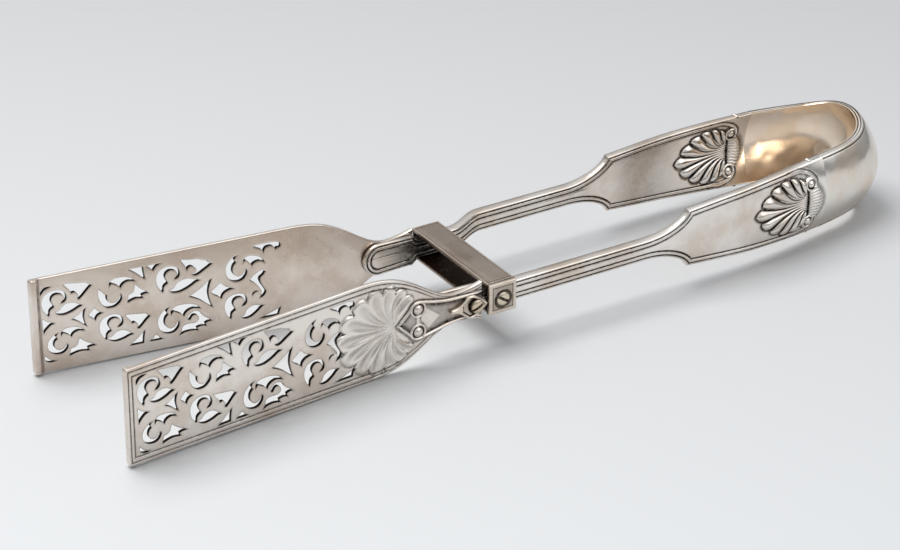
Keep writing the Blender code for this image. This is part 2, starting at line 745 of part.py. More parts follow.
def add_tang_joint(side, origin, carrier, silver):
    """Leaf plate on the outside of a blade's tang, with the screw through tang and strap."""
    sign = SIDES[side]["sign"]
    turn = math.pi if sign > 0 else 0.0
    base = SIDES[side]["waist"] + seat_gap
    leaf_mesh = plate_mesh(side + "_leaf_plate", [leaf_outline()], leaf_thickness)
    place = Vector((guide_left_x - seat_gap, sign * (base + leaf_thickness), 0.0))
    leaf = add_piece(leaf_mesh, silver, carrier, origin + place)
    leaf.rotation_euler = (turn, 0.0, 0.0)
    screw_offset = tang_screw_x - place.x
    drill(leaf, head_recess_radius, screw_offset, -cut_overrun, leaf_recess_depth)
    drill(leaf, screw_hole_radius, screw_offset, -cut_overrun, leaf_thickness + cut_overrun)

    rise = leaf_thickness - leaf_recess_depth + seat_gap
    shank = rise + seat_gap + stem_thickness
    place = Vector((tang_screw_x, sign * (base + rise), 0.0))
    screw = add_piece(screw_mesh(side + "_tang_screw", shank), silver, carrier, origin + place)
    screw.rotation_euler = (turn, 0.0, 0.0)
    cut_slot(screw, tang_slot_turn)


def main():
    for item in list(bpy.data.objects):
        bpy.data.objects.remove(item)
    silver = make_material("polished_silver", (0.78, 0.75, 0.71), 0.22, 1.0)
    blade_silver = make_material("blade_silver", (0.76, 0.74, 0.71), 0.28, 1.0)
    aged = make_material("aged_silver", (0.46, 0.43, 0.40), 0.42, 1.0)
    screw_silver = make_material("screw_silver", (0.66, 0.63, 0.60), 0.30, 1.0)

    near_carrier = add_carrier("near_side", 0.0)
    far_carrier = add_carrier("far_side", hinge_x)
    origin = Vector((-middle_x, 0.0, stand_half_width))
    add_piece(bow_mesh(), silver, near_carrier, origin)
    for side, carrier in (("near", near_carrier), ("far", far_carrier)):
        sign = SIDES[side]["sign"]
        arm = add_piece(arm_mesh(side), silver, carrier, origin)
        waist = SIDES[side]["waist"]
        hole_ends = sorted((sign * (waist - stem_thickness - cut_overrun), sign * waist))
        drill(arm, screw_hole_radius, tang_screw_x, *hole_ends)
        if side == "near":
            hole_end = -waist + guide_screw_grip + seat_gap
            drill(arm, screw_hole_radius, guide_x, -waist - cut_overrun, hole_end)
        add_handle_shells(arm, side)
        blade = add_piece(blade_mesh(side), blade_silver, carrier, origin)
        add_heel_shell(blade, side)
        add_tang_joint(side, origin, carrier, screw_silver)
    add_guide(origin, near_carrier, screw_silver, aged)


main()
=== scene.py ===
"""Old silver asparagus tongs with pierced blades, struck threads and shells, on a pale floor."""
import math

import bpy
import numpy as np
from mathutils import Matrix


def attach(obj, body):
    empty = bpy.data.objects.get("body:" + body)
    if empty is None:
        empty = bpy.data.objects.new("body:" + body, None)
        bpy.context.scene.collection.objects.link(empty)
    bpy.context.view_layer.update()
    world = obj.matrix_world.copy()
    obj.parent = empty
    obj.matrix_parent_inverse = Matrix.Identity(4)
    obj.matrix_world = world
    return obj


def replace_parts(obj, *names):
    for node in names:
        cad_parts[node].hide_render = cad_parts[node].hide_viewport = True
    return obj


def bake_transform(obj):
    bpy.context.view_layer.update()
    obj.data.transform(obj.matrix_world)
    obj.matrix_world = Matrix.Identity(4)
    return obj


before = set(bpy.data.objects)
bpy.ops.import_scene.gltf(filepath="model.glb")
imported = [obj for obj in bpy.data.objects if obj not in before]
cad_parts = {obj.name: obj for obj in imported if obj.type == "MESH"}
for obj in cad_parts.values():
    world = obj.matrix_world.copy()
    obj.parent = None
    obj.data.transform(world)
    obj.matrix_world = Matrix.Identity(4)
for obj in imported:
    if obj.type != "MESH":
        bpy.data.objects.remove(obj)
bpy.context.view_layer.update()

# Arms. Each is one forging: the lap strap that carries a blade, a threaded stem, pointed
# shoulders and a fiddle-shaped handle. Sterling silver, struck between dies, so both faces
# carry the same two-line border. The near arm is straight, the far one is set in at the guide.
# Sizes are millimetres about the squeeze joint, which stands at this place in the frame:
# x runs towards the bow, the level upwards, and x values are places along the tongs
JOINT_PLACE = np.array([100.4, 0.0, 15.0])
SHOULDER_X, JOGGLE_X, GUIDE_LEFT_X = -50.0, -94.1, -117.9
TANG_END_X, STRAP_END_X, TIP_X = -119.5, -136.0, -231.4
# Which way a side lies, its outer face's distance from the middle plane at the stem, in the
# guide and at the bow, and where its blade bends outward
SIDES = {
    "near": {"sign": -1, "stem": 22.5, "waist": 22.5, "bow": 21.8, "bend": -155.4},
    "far": {"sign": 1, "stem": 20.8, "waist": 15.6, "bow": 21.2, "bend": -136.4},
}
TIP_SPREAD, STEM_HALF, SHOULDER_HALF, BOW_HALF = 29.2, 3.0, 8.8, 11.6
STEM_THICK, HANDLE_THICK, BLADE_SHEET, SEAT_GAP = 3.1, 2.5, 1.4, 0.3
JOGGLE_RUN, SHOULDER_RUN, DISH_RUN, STRAP_ROUND, BEND_SOFT = 13.0, 15.0, 32.0, 5.0, 6.0
ARM_DISH, THREAD_INSET = 3.2, 1.36
# How far in from the edge the rows of the grid lie in the struck border
BORDER_OFFSETS = np.array([
    0.0, 0.08, 0.18, 0.32, 0.48, 0.6, 0.68, 0.76, 0.84, 0.95, 1.1, 1.36, 1.6, 1.75, 1.86,
    1.97, 2.08, 2.2, 2.36,
])


def ease(value):
    """Smooth step from 0 to 1, level at both ends: three squares of the value less two cubes."""
    t = np.clip(value, 0.0, 1.0)
    return t * t * (3 - 2 * t)


def soft_hinge(distance):
    """Distance past a bend, or while it is within the bend's soft length on either side,
    the square of the distance past its beginning over four such lengths."""
    soft = np.maximum(0, distance + BEND_SOFT) ** 2 / (4 * BEND_SOFT)
    return np.where(distance >= BEND_SOFT, distance, soft)


def outer_face(side, x):
    """Distance of the outer face's middle line from the middle plane at x: the stem's, eased
    to the waist's at the guide and to the bow's along the handle, and leaning out from the
    blade's bend to the tip."""
    place = SIDES[side]
    spread = place["stem"] + (place["waist"] - place["stem"]) * ease((JOGGLE_X - x) / JOGGLE_RUN)
    spread = spread + (place["bow"] - place["stem"]) * dish_share(x)
    lean = (TIP_SPREAD - place["waist"]) / soft_hinge(place["bend"] - TIP_X)
    return spread + lean * soft_hinge(place["bend"] - x)


def dish_share(x):
    """How far the bow's hollow has run out into the arm at x, 1 at the bow: a power of the
    share of its run that is left."""
    return np.maximum(0, 1 + np.minimum(x, 0) / DISH_RUN) ** 1.4


def arm_half_width(x):
    """Half height of an arm: the strap widens evenly and ends in an ellipse, the stem is
    straight, a quarter of an oval makes the hollow flare, and the handle widens evenly with
    half a sine wave on top."""
    share = np.clip(1 - x / SHOULDER_X, 0, 1)
    handle = SHOULDER_HALF + (BOW_HALF - SHOULDER_HALF) * share + 0.4 * np.sin(np.pi * share)
    near = np.clip(1 - (SHOULDER_X - x) / SHOULDER_RUN, 0, 1)
    stem = STEM_HALF + (SHOULDER_HALF - STEM_HALF) * (1 - (1 - near**2) ** 0.62)
    run = (GUIDE_LEFT_X - x) / (GUIDE_LEFT_X - STRAP_END_X)
    flare = ease((GUIDE_LEFT_X - SEAT_GAP - x) / 2.2)
    reach = np.clip(1 - (x - STRAP_END_X) / STRAP_ROUND, 0, 1)
    strap = (STEM_HALF + (1.4 + 0.6 * run) * flare) * np.sqrt(1 - reach**2)
    return np.where(x >= SHOULDER_X, handle, np.where(x >= GUIDE_LEFT_X, stem, strap))


def arm_thickness(x):
    """The stem's thickness, eased to the handle's along the shoulders."""
    return STEM_THICK - (STEM_THICK - HANDLE_THICK) * ease(1 - (SHOULDER_X - x) / SHOULDER_RUN)


def placed(side, x, y, level):
    """Points of one side from x, the distance out from the middle plane and the level."""
    return np.stack(np.broadcast_arrays(x, SIDES[side]["sign"] * y, level), axis=-1)


def on_arm(side, face, x, level, rise):
    """Point on an arm's outer or inner face, raised off it; towards the bow the face falls
    away from its middle line with the square of the level."""
    half = np.maximum(arm_half_width(x), 0.01)
    y = outer_face(side, x) - ARM_DISH * dish_share(x) * (level / half) ** 2
    return placed(side, x, y + rise if face == "outer" else y - arm_thickness(x) - rise, level)


def outline_distance(x, level, edge_x, edge_level):
    """Least distance in a face's plane from each point to a line given by close points."""
    least = np.full(np.shape(x), np.inf)
    for one_x, one_level in zip(edge_x, edge_level):
        least = np.minimum(least, (x - one_x) ** 2 + (level - one_level) ** 2)
    return np.sqrt(least)


def ridge(distance, centre, width):
    """Bell of height 1 about a centre distance: the exponential of minus the square of the
    gap over the width."""
    return np.exp(-(((distance - centre) / width) ** 2))


def greatest(*fields):
    """The greatest of several fields at each point."""
    return np.maximum.reduce(np.broadcast_arrays(*fields))


def rounded(distance, radius):
    """Depth of a quarter-round edge at a distance in from it: what a circle's height lacks of
    its radius, and none past that."""
    return radius - np.sqrt(np.maximum(0, radius**2 - np.maximum(0, radius - distance) ** 2))


def border_relief(distance):
    """Height of the struck border at a distance in from the edge: a rounded corner, a
    groove, a round thread, a second groove and the flat field."""
    thread = 0.16 * np.maximum(0, 1 - ((distance - THREAD_INSET) / 0.55) ** 2)
    grooves = 0.26 * ridge(distance, 0.76, 0.15) + 0.26 * ridge(distance, 1.97, 0.17)
    return thread - grooves - rounded(distance, 0.5)


def border_patina(distance, spread):
    """Oxide in the border's two grooves, which it overfills where spread is more than 1."""
    return 1.25 * (ridge(distance, 0.74, 0.22 * spread) + ridge(distance, 2.0, 0.26 * spread))


def new_mesh(name, points, faces, oxide_and_shade, sharp, yellowing):
    """Mesh object in metres from points in millimetres about the joint; faces is a list of
    arrays of corners; the first stain is how much dark oxide and painted shade lie at each
    point, and yellowing how much thin brown tarnish."""
    mesh = bpy.data.meshes.new(name)
    corners = np.concatenate([f.ravel() for f in faces]).astype(np.int32)
    counts = np.concatenate([np.full(len(f), f.shape[1]) for f in faces])
    mesh.vertices.add(len(points))
    mesh.vertices.foreach_set("co", ((points + JOINT_PLACE) * 0.001).astype(np.float32).ravel())
    mesh.loops.add(len(corners))
    mesh.loops.foreach_set("vertex_index", corners)
    mesh.polygons.add(len(counts))
    starts = np.concatenate([[0], np.cumsum(counts)[:-1]]).astype(np.int32)
    mesh.polygons.foreach_set("loop_start", starts)
    mesh.update(calc_edges=True)
    for stain, amount in (("oxide_and_shade", oxide_and_shade), ("yellowing", yellowing)):
        amount = np.clip(amount, 0, 2) + np.zeros(len(points))
        layer = mesh.attributes.new(stain, "FLOAT", "POINT")
        layer.data.foreach_set("value", amount.astype(np.float32))
    mesh.shade_smooth()
    mesh.set_sharp_from_angle(angle=math.radians(sharp))
    piece = bpy.data.objects.new(name, mesh)
    bpy.context.scene.collection.objects.link(piece)
    return piece


def closed_sheet(name, top, bottom, oxide_and_shade_top, oxide_and_shade_bottom, sharp=40, yellowing=0.0):
    """Closed piece between two grids of points of the same size, walled round their edges."""
    rows, columns = top.shape[:2]
    index = np.arange(rows * columns).reshape(rows, columns)
    quads = np.stack([index[:-1, :-1], index[1:, :-1], index[1:, 1:], index[:-1, 1:]], -1)
    quads = quads.reshape(-1, 4)
    rim = np.concatenate([index[0, :-1], index[:-1, -1], index[-1, :0:-1], index[:0:-1, 0]])
    after = np.roll(rim, -1)
    size = rows * columns
    walls = np.stack([rim, after, after + size, rim + size], -1)
    points = np.concatenate([top.reshape(-1, 3), bottom.reshape(-1, 3)])
    faces = [quads, quads[:, ::-1] + size, walls]
    # The signed volume says whether the grid runs the right way round
    a, b, c, d = (points[np.concatenate(faces)[:, k]] for k in range(4))
    volume = np.einsum("ij,ij->i", a, np.cross(b, c) + np.cross(c, d)).sum()
    if volume < 0:
        faces = [f[:, ::-1] for f in faces]
    tarnish = [(p + np.zeros((rows, columns))).ravel() for p in (oxide_and_shade_top, oxide_and_shade_bottom)]
    return new_mesh(name, points, faces, np.concatenate(tarnish), sharp, yellowing)


def mirrored_levels(half, offsets, middle_steps):
    """Levels from the lower edge to the upper, close together in the border."""
    fit = np.minimum(1, half / 3)
    last = offsets[-1]
    edge = half[:, None] - offsets[None, :] * fit[:, None]
    inner = (half - last * fit)[:, None] * (1 - np.arange(1, middle_steps + 1) / middle_steps)
    upper = np.concatenate([edge, inner], axis=1)
    return np.concatenate([-upper[:, :-1], upper[:, ::-1]], axis=1)


def node_of(material, kind, inputs=None, **settings):
    """Adds one node to a material or a world, sets its properties and fills its inputs with
    values or with other nodes' outputs."""
    node = material.node_tree.nodes.new("ShaderNode" + kind)
    for name, value in settings.items():
        setattr(node, name, value)
    for name, value in (inputs or {}).items():
        if isinstance(value, bpy.types.NodeSocket):
            material.node_tree.links.new(value, node.inputs[name])
        else:
            node.inputs[name].default_value = value
    return node


def linear(hex_colour):
    """Linear colour with alpha from an sRGB hex value."""
    parts = [int(hex_colour[i:i + 2], 16) / 255 for i in (1, 3, 5)]
    return [p / 12.92 if p <= 0.04045 else ((p + 0.055) / 1.055) ** 2.4 for p in parts] + [1.0]


def silver(name, bright, warm, tarnish, rough, wear=1.0, grain=(160.0, 3000.0, 8000.0),
           shelter=0.0011, dents=(210.0, 0.0002)):
    """Old hand-polished sterling silver. Broad warm clouds of thin tarnish, fine wiping
    scratches along the tongs, and brown-black oxide left in grooves and recesses, where the
    same dark colour is also painted shade."""
    made = bpy.data.materials.new(name)
    made.use_nodes = True
    shader = made.node_tree.nodes["Principled BSDF"]
    shader.inputs["Metallic"].default_value = 1.0
    place = node_of(made, "TexCoord").outputs["Object"]
    # Tarnish clouds about 18 mm across, with 4 mm mottling inside them
    clouds = node_of(made, "TexNoise", {
        "Vector": place, "Scale": 55.0, "Detail": 5.0, "Roughness": 0.6})
    cloudy = node_of(made, "MapRange", {
        "Value": clouds.outputs["Fac"], "From Min": 0.42, "From Max": 0.68})
    tea = node_of(made, "Attribute", attribute_name="yellowing")
    warmth = node_of(made, "Math", {
        0: cloudy.outputs["Result"], 1: tea.outputs["Fac"]}, operation="ADD", use_clamp=True)
    tone = node_of(made, "Mix", {
        "Factor": warmth.outputs["Value"], "A": linear(bright), "B": linear(warm)},
        data_type="RGBA")
    # Wiping scratches about 0.12 mm apart, drawn out one way
    along = node_of(made, "Mapping", {"Vector": place, "Scale": grain})
    scratch = node_of(made, "TexNoise", {
        "Vector": along.outputs["Vector"], "Scale": 1.0, "Detail": 2.0})
    # Oxide in the recesses: the struck grooves, and wherever nearby walls keep the cloth out.
    # Both the stain read here and the darkening by ambient occlusion are oxide and painted shade
    groove = node_of(made, "Attribute", attribute_name="oxide_and_shade")
    hollow = node_of(made, "AmbientOcclusion", {"Distance": shelter}, samples=6)
    recess_oxide_and_shade = node_of(made, "MapRange", {
        "Value": hollow.outputs["AO"], "From Min": 0.72, "From Max": 0.3, "To Max": 0.8})
    grime = node_of(made, "TexNoise", {"Vector": place, "Scale": 900.0, "Detail": 3.0})
    uneven = node_of(made, "MapRange", {
        "Value": grime.outputs["Fac"], "From Min": 0.3, "From Max": 0.7, "To Min": 0.75,
        "To Max": 1.1})
    both = node_of(made, "Math", {
        0: groove.outputs["Fac"], 1: recess_oxide_and_shade.outputs["Result"]}, operation="MAXIMUM")
    oxide = node_of(made, "Math", {
        0: both.outputs["Value"], 1: uneven.outputs["Result"]}, operation="MULTIPLY",
        use_clamp=True)
    colour = node_of(made, "Mix", {
        "Factor": oxide.outputs["Value"], "A": tone.outputs["Result"], "B": linear(tarnish)},
        data_type="RGBA")
    polish = node_of(made, "MapRange", {
        "Value": clouds.outputs["Fac"], "From Min": 0.3, "From Max": 0.7,
        "To Min": rough - 0.06, "To Max": rough + 0.07})
    dull = node_of(made, "Math", {
        0: oxide.outputs["Value"], 1: 0.3, 2: polish.outputs["Result"]}, operation="MULTIPLY_ADD")
    # Dents and ripples of hand planishing, 5 mm across and a few hundredths deep, or larger
    ripple = node_of(made, "TexNoise", {"Vector": place, "Scale": dents[0], "Detail": 1.0})
    height = node_of(made, "Math", {
        0: scratch.outputs["Fac"], 1: 0.02, 2: ripple.outputs["Fac"]}, operation="MULTIPLY_ADD")
    bump = node_of(made, "Bump", {
        "Height": height.outputs["Value"], "Strength": 0.22 * wear, "Distance": dents[1]})
    for name, output in (("Base Color", colour.outputs["Result"]),
                         ("Roughness", dull.outputs["Value"]),
                         ("Normal", bump.outputs["Normal"])):
        made.node_tree.links.new(output, shader.inputs[name])
    return made


struck_silver = silver("struck_sterling_silver", "#F1ECE6", "#D6C8BA", "#1E1611", 0.14)


def dress(piece, material, body):
    """Finishes a piece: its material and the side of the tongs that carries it."""
    piece.data.materials.append(material)
    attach(piece, body)
    return piece


def cubic_spans(start, finish, leave, arrive, steps):
    """Close points on cubic spans: the two ends and the slopes there, each weighted with its
    own cubic of the share of the span."""
    t = (np.arange(steps) / steps)[None, :, None]
    start, finish, leave, arrive = (ends[:, None] for ends in (start, finish, leave, arrive))
    line = (start * (1 + 2 * t) * (1 - t) ** 2 + leave * t * (1 - t) ** 2
            + finish * t * t * (3 - 2 * t) + arrive * t * t * (t - 1))
    return line.reshape(-1, 2)


def smooth_line(knots, steps):
    """Smooth open line of cubic spans through a few points: the slope at each is half the
    step between its neighbours."""
    knots = np.array(knots, float)
    slopes = np.gradient(knots, axis=0)
    line = cubic_spans(knots[:-1], knots[1:], slopes[:-1], slopes[1:], steps)
    return np.concatenate([line, knots[-1:]]).T


# Middles of the beads in the upper and the lower volute
BEADS = {1: (-6.0, 5.6), -1: (-6.6, -6.5)}


def volute_path(up):
    """Line of the border thread where it leaves the handle's edge and curls once round its
    bead, on circles from 2.2 to 1.6 mm; up is 1 for the upper volute and -1 for the lower."""
    border_x = np.array([-21.0, -18.0, -15.0, -12.2])
    border = np.stack([border_x, arm_half_width(border_x) - THREAD_INSET], -1)
    centre = np.array([BEADS[up][0], abs(BEADS[up][1])])
    angles = np.radians([38, 12, -14, -40, -70, -100, -130, -160, -190, -220, -250, -280, -305])
    sizes = np.linspace(2.2, 1.6, 13)[:, None]
    curl = centre + sizes * np.stack([np.cos(angles), np.sin(angles)], -1)
    lead = np.array([[-9.8, 9.9], [-7.8, 9.35], [-5.7, 8.3]])
    lead = lead if up > 0 else lead + [(-0.1, 0.15), (-0.2, 0.35), (-0.4, 0.7)]
    path_x, path_level = smooth_line(np.concatenate([border, lead, curl]), 12)
    return path_x, up * path_level


def shell_points(reach, side, lobes, length, end, root, spread, notch, sweep):
    """Place in a shell of a share of the reach and a share of the fan from side to side: an
    angle and a radius, which falls evenly towards the sides and by a half circle's depth
    between two lobes; the root is straight, and the lobes sweep out from it."""
    across = 2 * np.mod((side + 1) / 2 * lobes, 1) - 1
    tip = 1 - notch * (1 - np.sqrt(np.maximum(0, 1 - across**2)))
    radius = length * (1 - (1 - end) * np.abs(side)) * tip
    x = -reach * radius * np.cos(side * spread)
    level = reach**sweep * radius * np.sin(side * spread) + (1 - reach) * root * side
    return x, level, across


HANDLE_SHELL = {"lobes": 11, "length": 19.0, "end": 0.34, "root": 4.0,
                "spread": math.radians(82), "notch": 0.13, "sweep": 2.3}
COLLAR_ROOT, COLLAR_WIDER, COLLAR_REACH, COLLAR_ROUND, COLLAR_LEVEL = 4.2, 0.9, 5.9, 2.2, -0.4
HANDLE_ROOT_X, THREAD_END_X, BEAD_SEAT = -7.0, -13.5, 1.4

handle_stations = np.unique(np.concatenate([
    np.linspace(STRAP_END_X + 0.02, STRAP_END_X + STRAP_ROUND, 32),
    np.linspace(STRAP_END_X + STRAP_ROUND, TANG_END_X - 2.2, 14),
    np.linspace(TANG_END_X - 2.2, GUIDE_LEFT_X, 16),
    [TANG_END_X + SEAT_GAP, TANG_END_X + SEAT_GAP + 0.04],
    np.linspace(GUIDE_LEFT_X, -90, 44), np.linspace(-90, -65, 18),
    np.linspace(-65, -53, 42), np.linspace(-53, -49, 44),
    np.linspace(-49, -40, 20), np.linspace(-40, -27, 14), np.linspace(-27, 0, 172),
]))
half_widths = arm_half_width(handle_stations)
levels = mirrored_levels(half_widths, BORDER_OFFSETS, 36)
stations = np.repeat(handle_stations[:, None], levels.shape[1], axis=1)
# The arm's outline as close points, closest at the strap's end and where the handle begins
edge_run = np.unique(np.concatenate([
    np.linspace(STRAP_END_X, STRAP_END_X + 1, 60), np.linspace(STRAP_END_X + 1, 1.5, 1100),
    np.linspace(-52, SHOULDER_X, 90), np.linspace(-50.02, -49.98, 5)]))
edge_half = arm_half_width(edge_run)
fine = np.linspace(0, 1, 5)[:-1]
edge_x = (edge_run[:-1, None] + np.diff(edge_run)[:, None] * fine).ravel()
edge_level = (edge_half[:-1, None] + np.diff(edge_half)[:, None] * fine).ravel()
in_from_edge = outline_distance(stations, np.abs(levels), edge_x, edge_level)
threads_left = 1 - ease((stations - THREAD_END_X) / 1.5)
rim_x, rim_level, _ = shell_points(1.0, np.linspace(-1, 1, 420), **HANDLE_SHELL)
shell_line = outline_distance(stations, levels, rim_x + HANDLE_ROOT_X, rim_level)
collar_end = np.linspace(-1, 1, 80)
collar_line = outline_distance(
    stations, levels, HANDLE_ROOT_X + 0.1 + COLLAR_REACH - COLLAR_ROUND * collar_end**2,
    (COLLAR_ROOT + COLLAR_WIDER) * collar_end + COLLAR_LEVEL)
curls = [outline_distance(stations, levels, *volute_path(up)) for up in (1, -1)]
curl_line = np.minimum(*curls) + 9 * (stations < THREAD_END_X - 1)
from_beads = np.minimum(*(np.hypot(stations - x, levels - level) for x, level in BEADS.values()))
# A low crown runs along the middle of the stem
crown_band = 0.12 * np.maximum(0, 1 - (levels / 0.95) ** 2) * ease((-52 - stations) / 8)
relief = border_relief(in_from_edge)
corner_only = border_relief(np.minimum(in_from_edge, 0.5))
relief = relief * threads_left + corner_only * (1 - threads_left) + crown_band
relief -= 0.18 * ridge(shell_line, 0.4, 0.25) + 0.25 * ridge(curl_line, 0.68, 0.17)
relief -= 0.2 * (from_beads < BEAD_SEAT)
# Oxide in the border's grooves, at the guide's mouth and in the volutes' grooves; round the foot
# of the shell and the collar a dark halo that is oxide and painted shade
arm_oxide_and_shade = greatest(
    border_patina(in_from_edge, 1 + 0.15 * ease((SHOULDER_X - stations) / 6)) * threads_left,
    0.95 * ridge(stations, GUIDE_LEFT_X - 0.6, 1.2), ridge(shell_line, 0.2, 0.5),
    ridge(curl_line, 0.72, 0.3), 0.6 * ridge(collar_line, 0.1, 0.7),
    0.9 * (from_beads < BEAD_SEAT))
# The inner faces are browner towards the bow, dark in the guide from oxide and painted shade,
# and carry a painted brown reflection at the shoulders
inner_yellow = 0.25 + 0.55 * ease((stations + 30) / 30)
guide_oxide_and_shade = 0.85 * ease((stations + 129) / 9) * (1 - ease((stations + 112) / 4))
painted_brown_reflection = 0.3 * ease((stations + 50) / 8) * (1 - ease((stations + 36) / 14))
inner_oxide_and_painted_light = greatest(arm_oxide_and_shade, guide_oxide_and_shade, painted_brown_reflection)
yellow = np.concatenate([0 * inner_yellow.ravel(), inner_yellow.ravel()])
# The strap lies below the stem's face by the blade's sheet and the gap of its seat
sunk = (BLADE_SHEET + SEAT_GAP) * (stations <= TANG_END_X + SEAT_GAP)
for side in SIDES:
    outside = on_arm(side, "outer", stations, levels, relief - sunk)
    inside = on_arm(side, "inner", stations, levels, relief)
    arm = closed_sheet(side + "_arm_struck", outside, inside, arm_oxide_and_shade, inner_oxide_and_painted_light,
                       yellowing=yellow)
    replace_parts(dress(arm, struck_silver, side + "_side"), side + "_arm")

# Handle shells. A scallop of eleven lobes is struck in high relief on each face of each
# handle, between two volutes that the border thread curls into, under a ribbed collar.
# They are part of the forging; dark oxide stays in the flutes.
reach_rows = np.concatenate([
    np.linspace(0, 0.7, 20), 0.72 + 0.28 * np.sin(np.linspace(0, np.pi / 2, 22))])
shell_reach, shell_side = np.meshgrid(
    reach_rows, np.linspace(-1, 1, 14 * HANDLE_SHELL["lobes"] + 1), indexing="ij")
shell_x, shell_level, across = shell_points(shell_reach, shell_side, **HANDLE_SHELL)
bulb = np.sqrt(np.clip(1 - (np.maximum(shell_reach - 0.86, 0) / 0.14) ** 2, 0, 1))
lobe_width = 0.56 + 0.34 * ease((shell_reach - 0.35) / 0.5)
off_centre = np.abs(across) / lobe_width
lobe_round = np.sqrt(np.maximum(0, 1 - off_centre**2))
shell_rise = (0.25 + 1.0 * ease(shell_reach / 0.88)) * bulb * lobe_round - 0.1
flute_patina = 1.25 * ease((off_centre - 0.72) / 0.28) * np.where(shell_reach < 0.99, 1, 0.6)
flute_patina = np.maximum(flute_patina, ridge(shell_reach, 0, 0.06))
half_round = np.linspace(0, np.pi, 13)


def standing(name, place, x, level, rise, shade, foot=-0.35, under=None, sharp=40):
    """Closed piece that stands on a face, given by its surface, side and name: its top raised
    off the face, its foot sunk into it."""
    surface, side, face = place
    top = surface(side, face, x, level, rise)
    bottom = surface(side, face, x, level, np.full(x.shape, foot))
    return closed_sheet(name, top, bottom, shade, shade if under is None else under, sharp)


def swept_thread(name, place, path, radius, heights, oxide=0.0):
    """Half-round thread of one width carried along a line on a face and let down at both
    ends, its height going from the first value to the second, with oxide along both its
    sides or all over."""
    (path_x, path_level), count = path, len(path[0])
    height = heights[0] + (heights[1] - heights[0]) * ease(np.linspace(0, 1.6, count))[:, None]
    run_x, run_level = np.gradient(path_x), np.gradient(path_level)
    size = np.hypot(run_x, run_level)
    from_end = np.minimum(np.arange(count), np.arange(count)[::-1])
    taper = np.sqrt(np.clip(from_end / 5, 0.05, 1))[:, None]
    shift = radius * np.cos(half_round) * taper
    x = path_x[:, None] - (run_level / size)[:, None] * shift
    level = path_level[:, None] + (run_x / size)[:, None] * shift
    rise = height * np.sin(half_round) * taper - 0.05
    shade = np.maximum(oxide, 0.8 * ridge(np.sin(half_round), 0, 0.25)) + 0 * x
    return standing(name, place, x, level, rise, shade)


DISC_ROWS = np.sin(np.linspace(-1, 1, 25) * math.radians(86))


def disc(radius, rows=DISC_ROWS, columns=25):
    """Grid over a disc: rows straight across it, each as long as its chord."""
    level = radius * rows
    chord = np.sqrt(radius**2 - level**2)
    return np.sin(np.linspace(-1, 1, columns) * np.pi / 2)[None, :] * chord[:, None], (
        level[:, None] + np.zeros((1, columns)))


def bead(name, place, centre, radius, height):
    """Round bead standing on a face: a half ball pressed or drawn out to its height."""
    x, level = disc(radius)
    dome = np.sqrt(np.maximum(0, 1 - (x**2 + level**2) / radius**2 * 0.98))
    return standing(name, place, x + centre[0], level + centre[1], height * dome - 0.02,
                    ridge(dome, 0.14, 0.2))


def edge_surface(up):
    """Makes the narrow upper or lower edge of an arm a surface of its own."""
    def on_edge(side, face, x, level, rise):
        """Point on the edge: its level is how far out it lies from a line 0.75 mm inside the
        outer or inner arris, and what is raised stands off the edge."""
        shift = 0.75 if face == "outer" else arm_thickness(x) - 0.75
        y = outer_face(side, x) - ARM_DISH * dish_share(x) - shift + level
        return placed(side, x, y, up * (arm_half_width(x) + rise))
    return on_edge


# Collar: ten ribs side by side, rolled over from the dark line at the shell's root
collar_run, collar_stack = np.meshgrid(np.linspace(0, 1, 22), np.linspace(-1, 1, 121),
                                       indexing="ij")
collar_level = COLLAR_LEVEL + collar_stack * (COLLAR_ROOT + COLLAR_WIDER * collar_run)
collar_x = HANDLE_ROOT_X + 0.1 + collar_run * (COLLAR_REACH - COLLAR_ROUND * collar_stack**2)
collar_ribs = np.abs(np.cos(collar_stack * 5 * np.pi))
collar_roll = 0.35 + 0.55 * np.sin(np.pi * (0.12 + 0.88 * collar_run))
collar_rise = collar_roll * (0.78 + 0.22 * collar_ribs) - 0.5 * ridge(collar_run, 1, 0.12)
collar_shade = np.maximum(0.75 * ridge(collar_ribs, 0, 0.35), ridge(collar_run, 0, 0.05))
for side in SIDES:
    for face, arris in (("outer", 0.25), ("inner", -0.03)):
        prefix, place = f"{side}_{face}_", (on_arm, side, face)
        pieces = [standing(prefix + "shell", place, shell_x + HANDLE_ROOT_X, shell_level,
                           shell_rise, flute_patina, -0.4, sharp=60),
                  standing(prefix + "collar", place, collar_x, collar_level, collar_rise,
                           collar_shade, -0.4, sharp=60)]
        for up, word in ((1, "upper"), (-1, "lower")):
            path = [line[60:] for line in volute_path(up)]
            edge = (edge_surface(up), side, face)
            # A small bud stands on the edge of the forging, where its plain bow begins, and
            # the two grooves of the bow's rim begin at it
            begun = np.stack([np.linspace(-4.6, 0.2, 20), np.full(20, arris)])
            pieces += [
                swept_thread(prefix + word + "_volute", place, path, 0.44, (0.14, 1.0)),
                bead(prefix + word + "_bead", place, BEADS[up], 1.2, 1.15),
                bead(prefix + word + "_bud", edge, (-4.8, 0.0), 0.6, 0.38),
                swept_thread(prefix + word + "_groove_start", edge, begun, 0.17, (0.07, 0.07),
                             0.95)]
        for piece in pieces:
            dress(piece, struck_silver, side + "_side")

# Bow. The sprung end: the same forging beaten out wide, bent round and dished across, left
# plain and bright. Two fine lines run along each rim. It is what flexes when the handles
# are pressed.
BOW_REACH, CROWN_DISH, CROWN_WIDER, BOW_THINNED = 24.6, 2.8, 3.1, 0.4
RIM_ROUND, FINE_LINE = 0.34, 0.75


